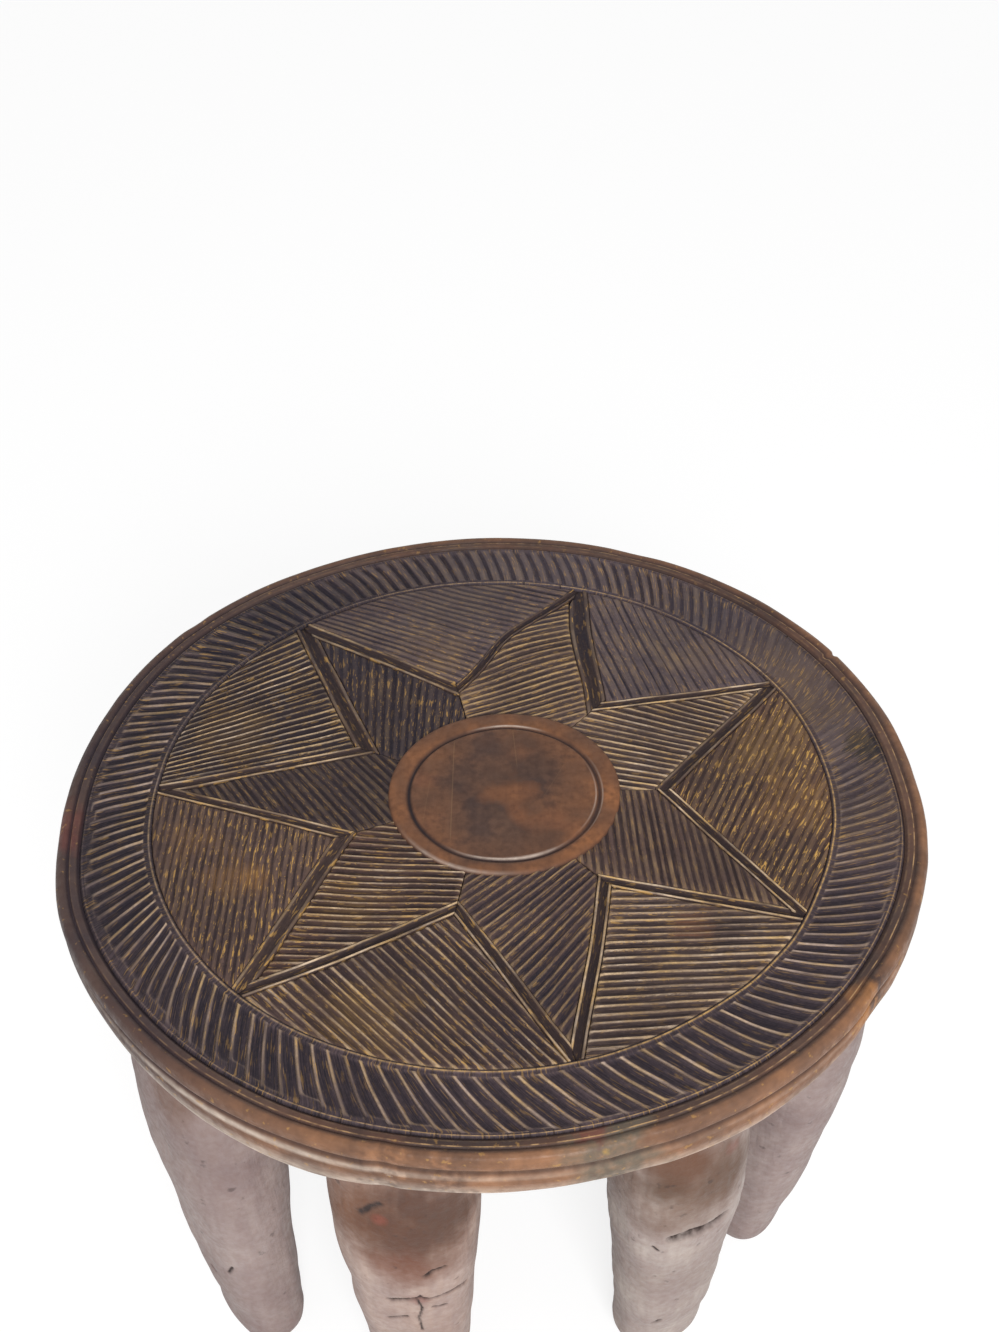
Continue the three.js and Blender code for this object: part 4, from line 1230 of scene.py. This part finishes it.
LEG_SCAR = (46, 33, 30)


def leg_finish(name, stain, strength, woods, patches):
    f = Finish(name)
    scar, down = f.mark("scar"), f.mark("down")
    broad, patchy, fine = f.noises((12, 3, 0.36, 0.64), (38, 4, 0.36, 0.64), (260, 4, 0.3, 0.7))
    grain = f.noise(f.stretched(f.place, (170, 170, 14)), 1, 4, 0.34, 0.66)
    speck = f.noise(f.place, 150, 4, 0.66, 0.74)
    f.tone = f.blend(broad, *woods)
    f.lay(patchy * 0.35, LEG_MAUVE)
    f.lay(grain * 0.3, LEG_MAUVE)
    reach = f.spread(stain - down + (patchy - 0.5) * 0.16 + (broad - 0.5) * 0.22, -0.12, 0.25)
    f.lay(reach * 0.95 * strength, f.blend(patchy, *LEG_STAIN))
    f.patches(patches, patchy * 0.4 + grain * 0.12 + 0.36)
    f.lay(fine * 0.2, LEG_STAIN[0])
    f.lay(speck * 0.5, LEG_SCAR)
    f.lay(scar * (0.6 + 1.2 * fine), LEG_SCAR)
    f.close(0.5 + fine * 0.2, fine * 0.5 + grain * 0.5, 0.0005)
    return f


def squared(value):
    return np.sign(value) * np.abs(value) ** LEG_POWER


def scar_depth(points, width, path):
    """1 along a path in the leg's skin, and 0 from its width away."""
    nearest = np.full(len(points), 1.0)
    for first, second in zip(path, path[1:]):
        start, run = np.array(first), np.array(second) - np.array(first)
        share = unit((points - start) @ run / (run @ run))
        nearest = np.minimum(nearest, np.linalg.norm(points - start - share[:, None] * run, axis=1))
    return unit(1 - nearest / width)


scarred = {scar[0] for scar in LEG_SCARS}
shares = np.array(LEG_SHARES)
for number, (angle, drift, spread, back_side, far_side, stain, strength, wood) in enumerate(LEG_PLACES, 1):
    finer = SCARRED_FINER if number in scarred else 1
    skin = [(1, 1 - down) for down in np.linspace(0, 1, LEG_ROWS * finer)]
    leg_mesh, leg = mesh_of(turned([(0, 1), *skin, (0, 0)], LEG_STEPS * finer), f"leg_{number}_wood")
    turn = np.arctan2(leg[:, 1], leg[:, 0])
    size = np.hypot(leg[:, 0], leg[:, 1])
    down = 1 - leg[:, 2]
    width, depth, reach = (smooth(shares[:, [0, k]], down) for k in (1, 2, 3))
    foot = (down - 1) * UNDERSIDE / SOLE_ROUNDING + 1
    size = size * np.where(foot > 0, smooth(SOLE_SHARES, unit(foot)), 1)
    width, depth = width * LEG_WIDTH, depth * LEG_DEPTH
    out = reach * LEG_REACH + spread * down * SEAT_RADIUS - depth / 2
    out = out + size * squared(np.cos(turn)) * depth / 2
    across = size * squared(np.sin(turn)) * width / 2
    fuller = 1 + (np.where(across < 0, back_side, far_side) - 1) * (1 - 0.6 * down ** 2)
    aside = drift * down * SEAT_RADIUS + across * fuller
    level = UNDERSIDE * (1 - down) + LEG_ROOT * (down < 1e-6)
    facets = sum(
        depth_there * wander(place, level, swell, seed + number)
        for (depth_there, swell), place, seed in zip(LEG_SWELLS, (aside, out + aside), (600, 700))
    )
    facets = (facets - LEG_WORN) * unit(size)
    out = out + facets * np.cos(turn)
    aside = aside + facets * np.sin(turn)
    c, s = math.cos(math.radians(angle)), math.sin(math.radians(angle))
    points = np.column_stack([out * c - aside * s, out * s + aside * c, level])
    inwards = np.array([LEG_CORE * c, LEG_CORE * s, 0]) - points * (1, 1, 0)
    inwards /= np.maximum(np.linalg.norm(inwards, axis=1), 1e-6)[:, None]
    scar = np.zeros(len(points))
    for owner, half_width, sunk, path in LEG_SCARS:
        if owner == number:
            mask = scar_depth(points, half_width, path)
            points = points + inwards * (sunk * mask ** 0.8)[:, None]
            scar = np.maximum(scar, mask)
    patches = LEG_PATCHES.get(number, ())
    finish = leg_finish(f"leg_{number}_finish", stain, strength, LEG_WOODS[wood], patches)
    finished(leg_mesh, points, {"scar": scar, "down": down}, finish, f"leg_{number}")
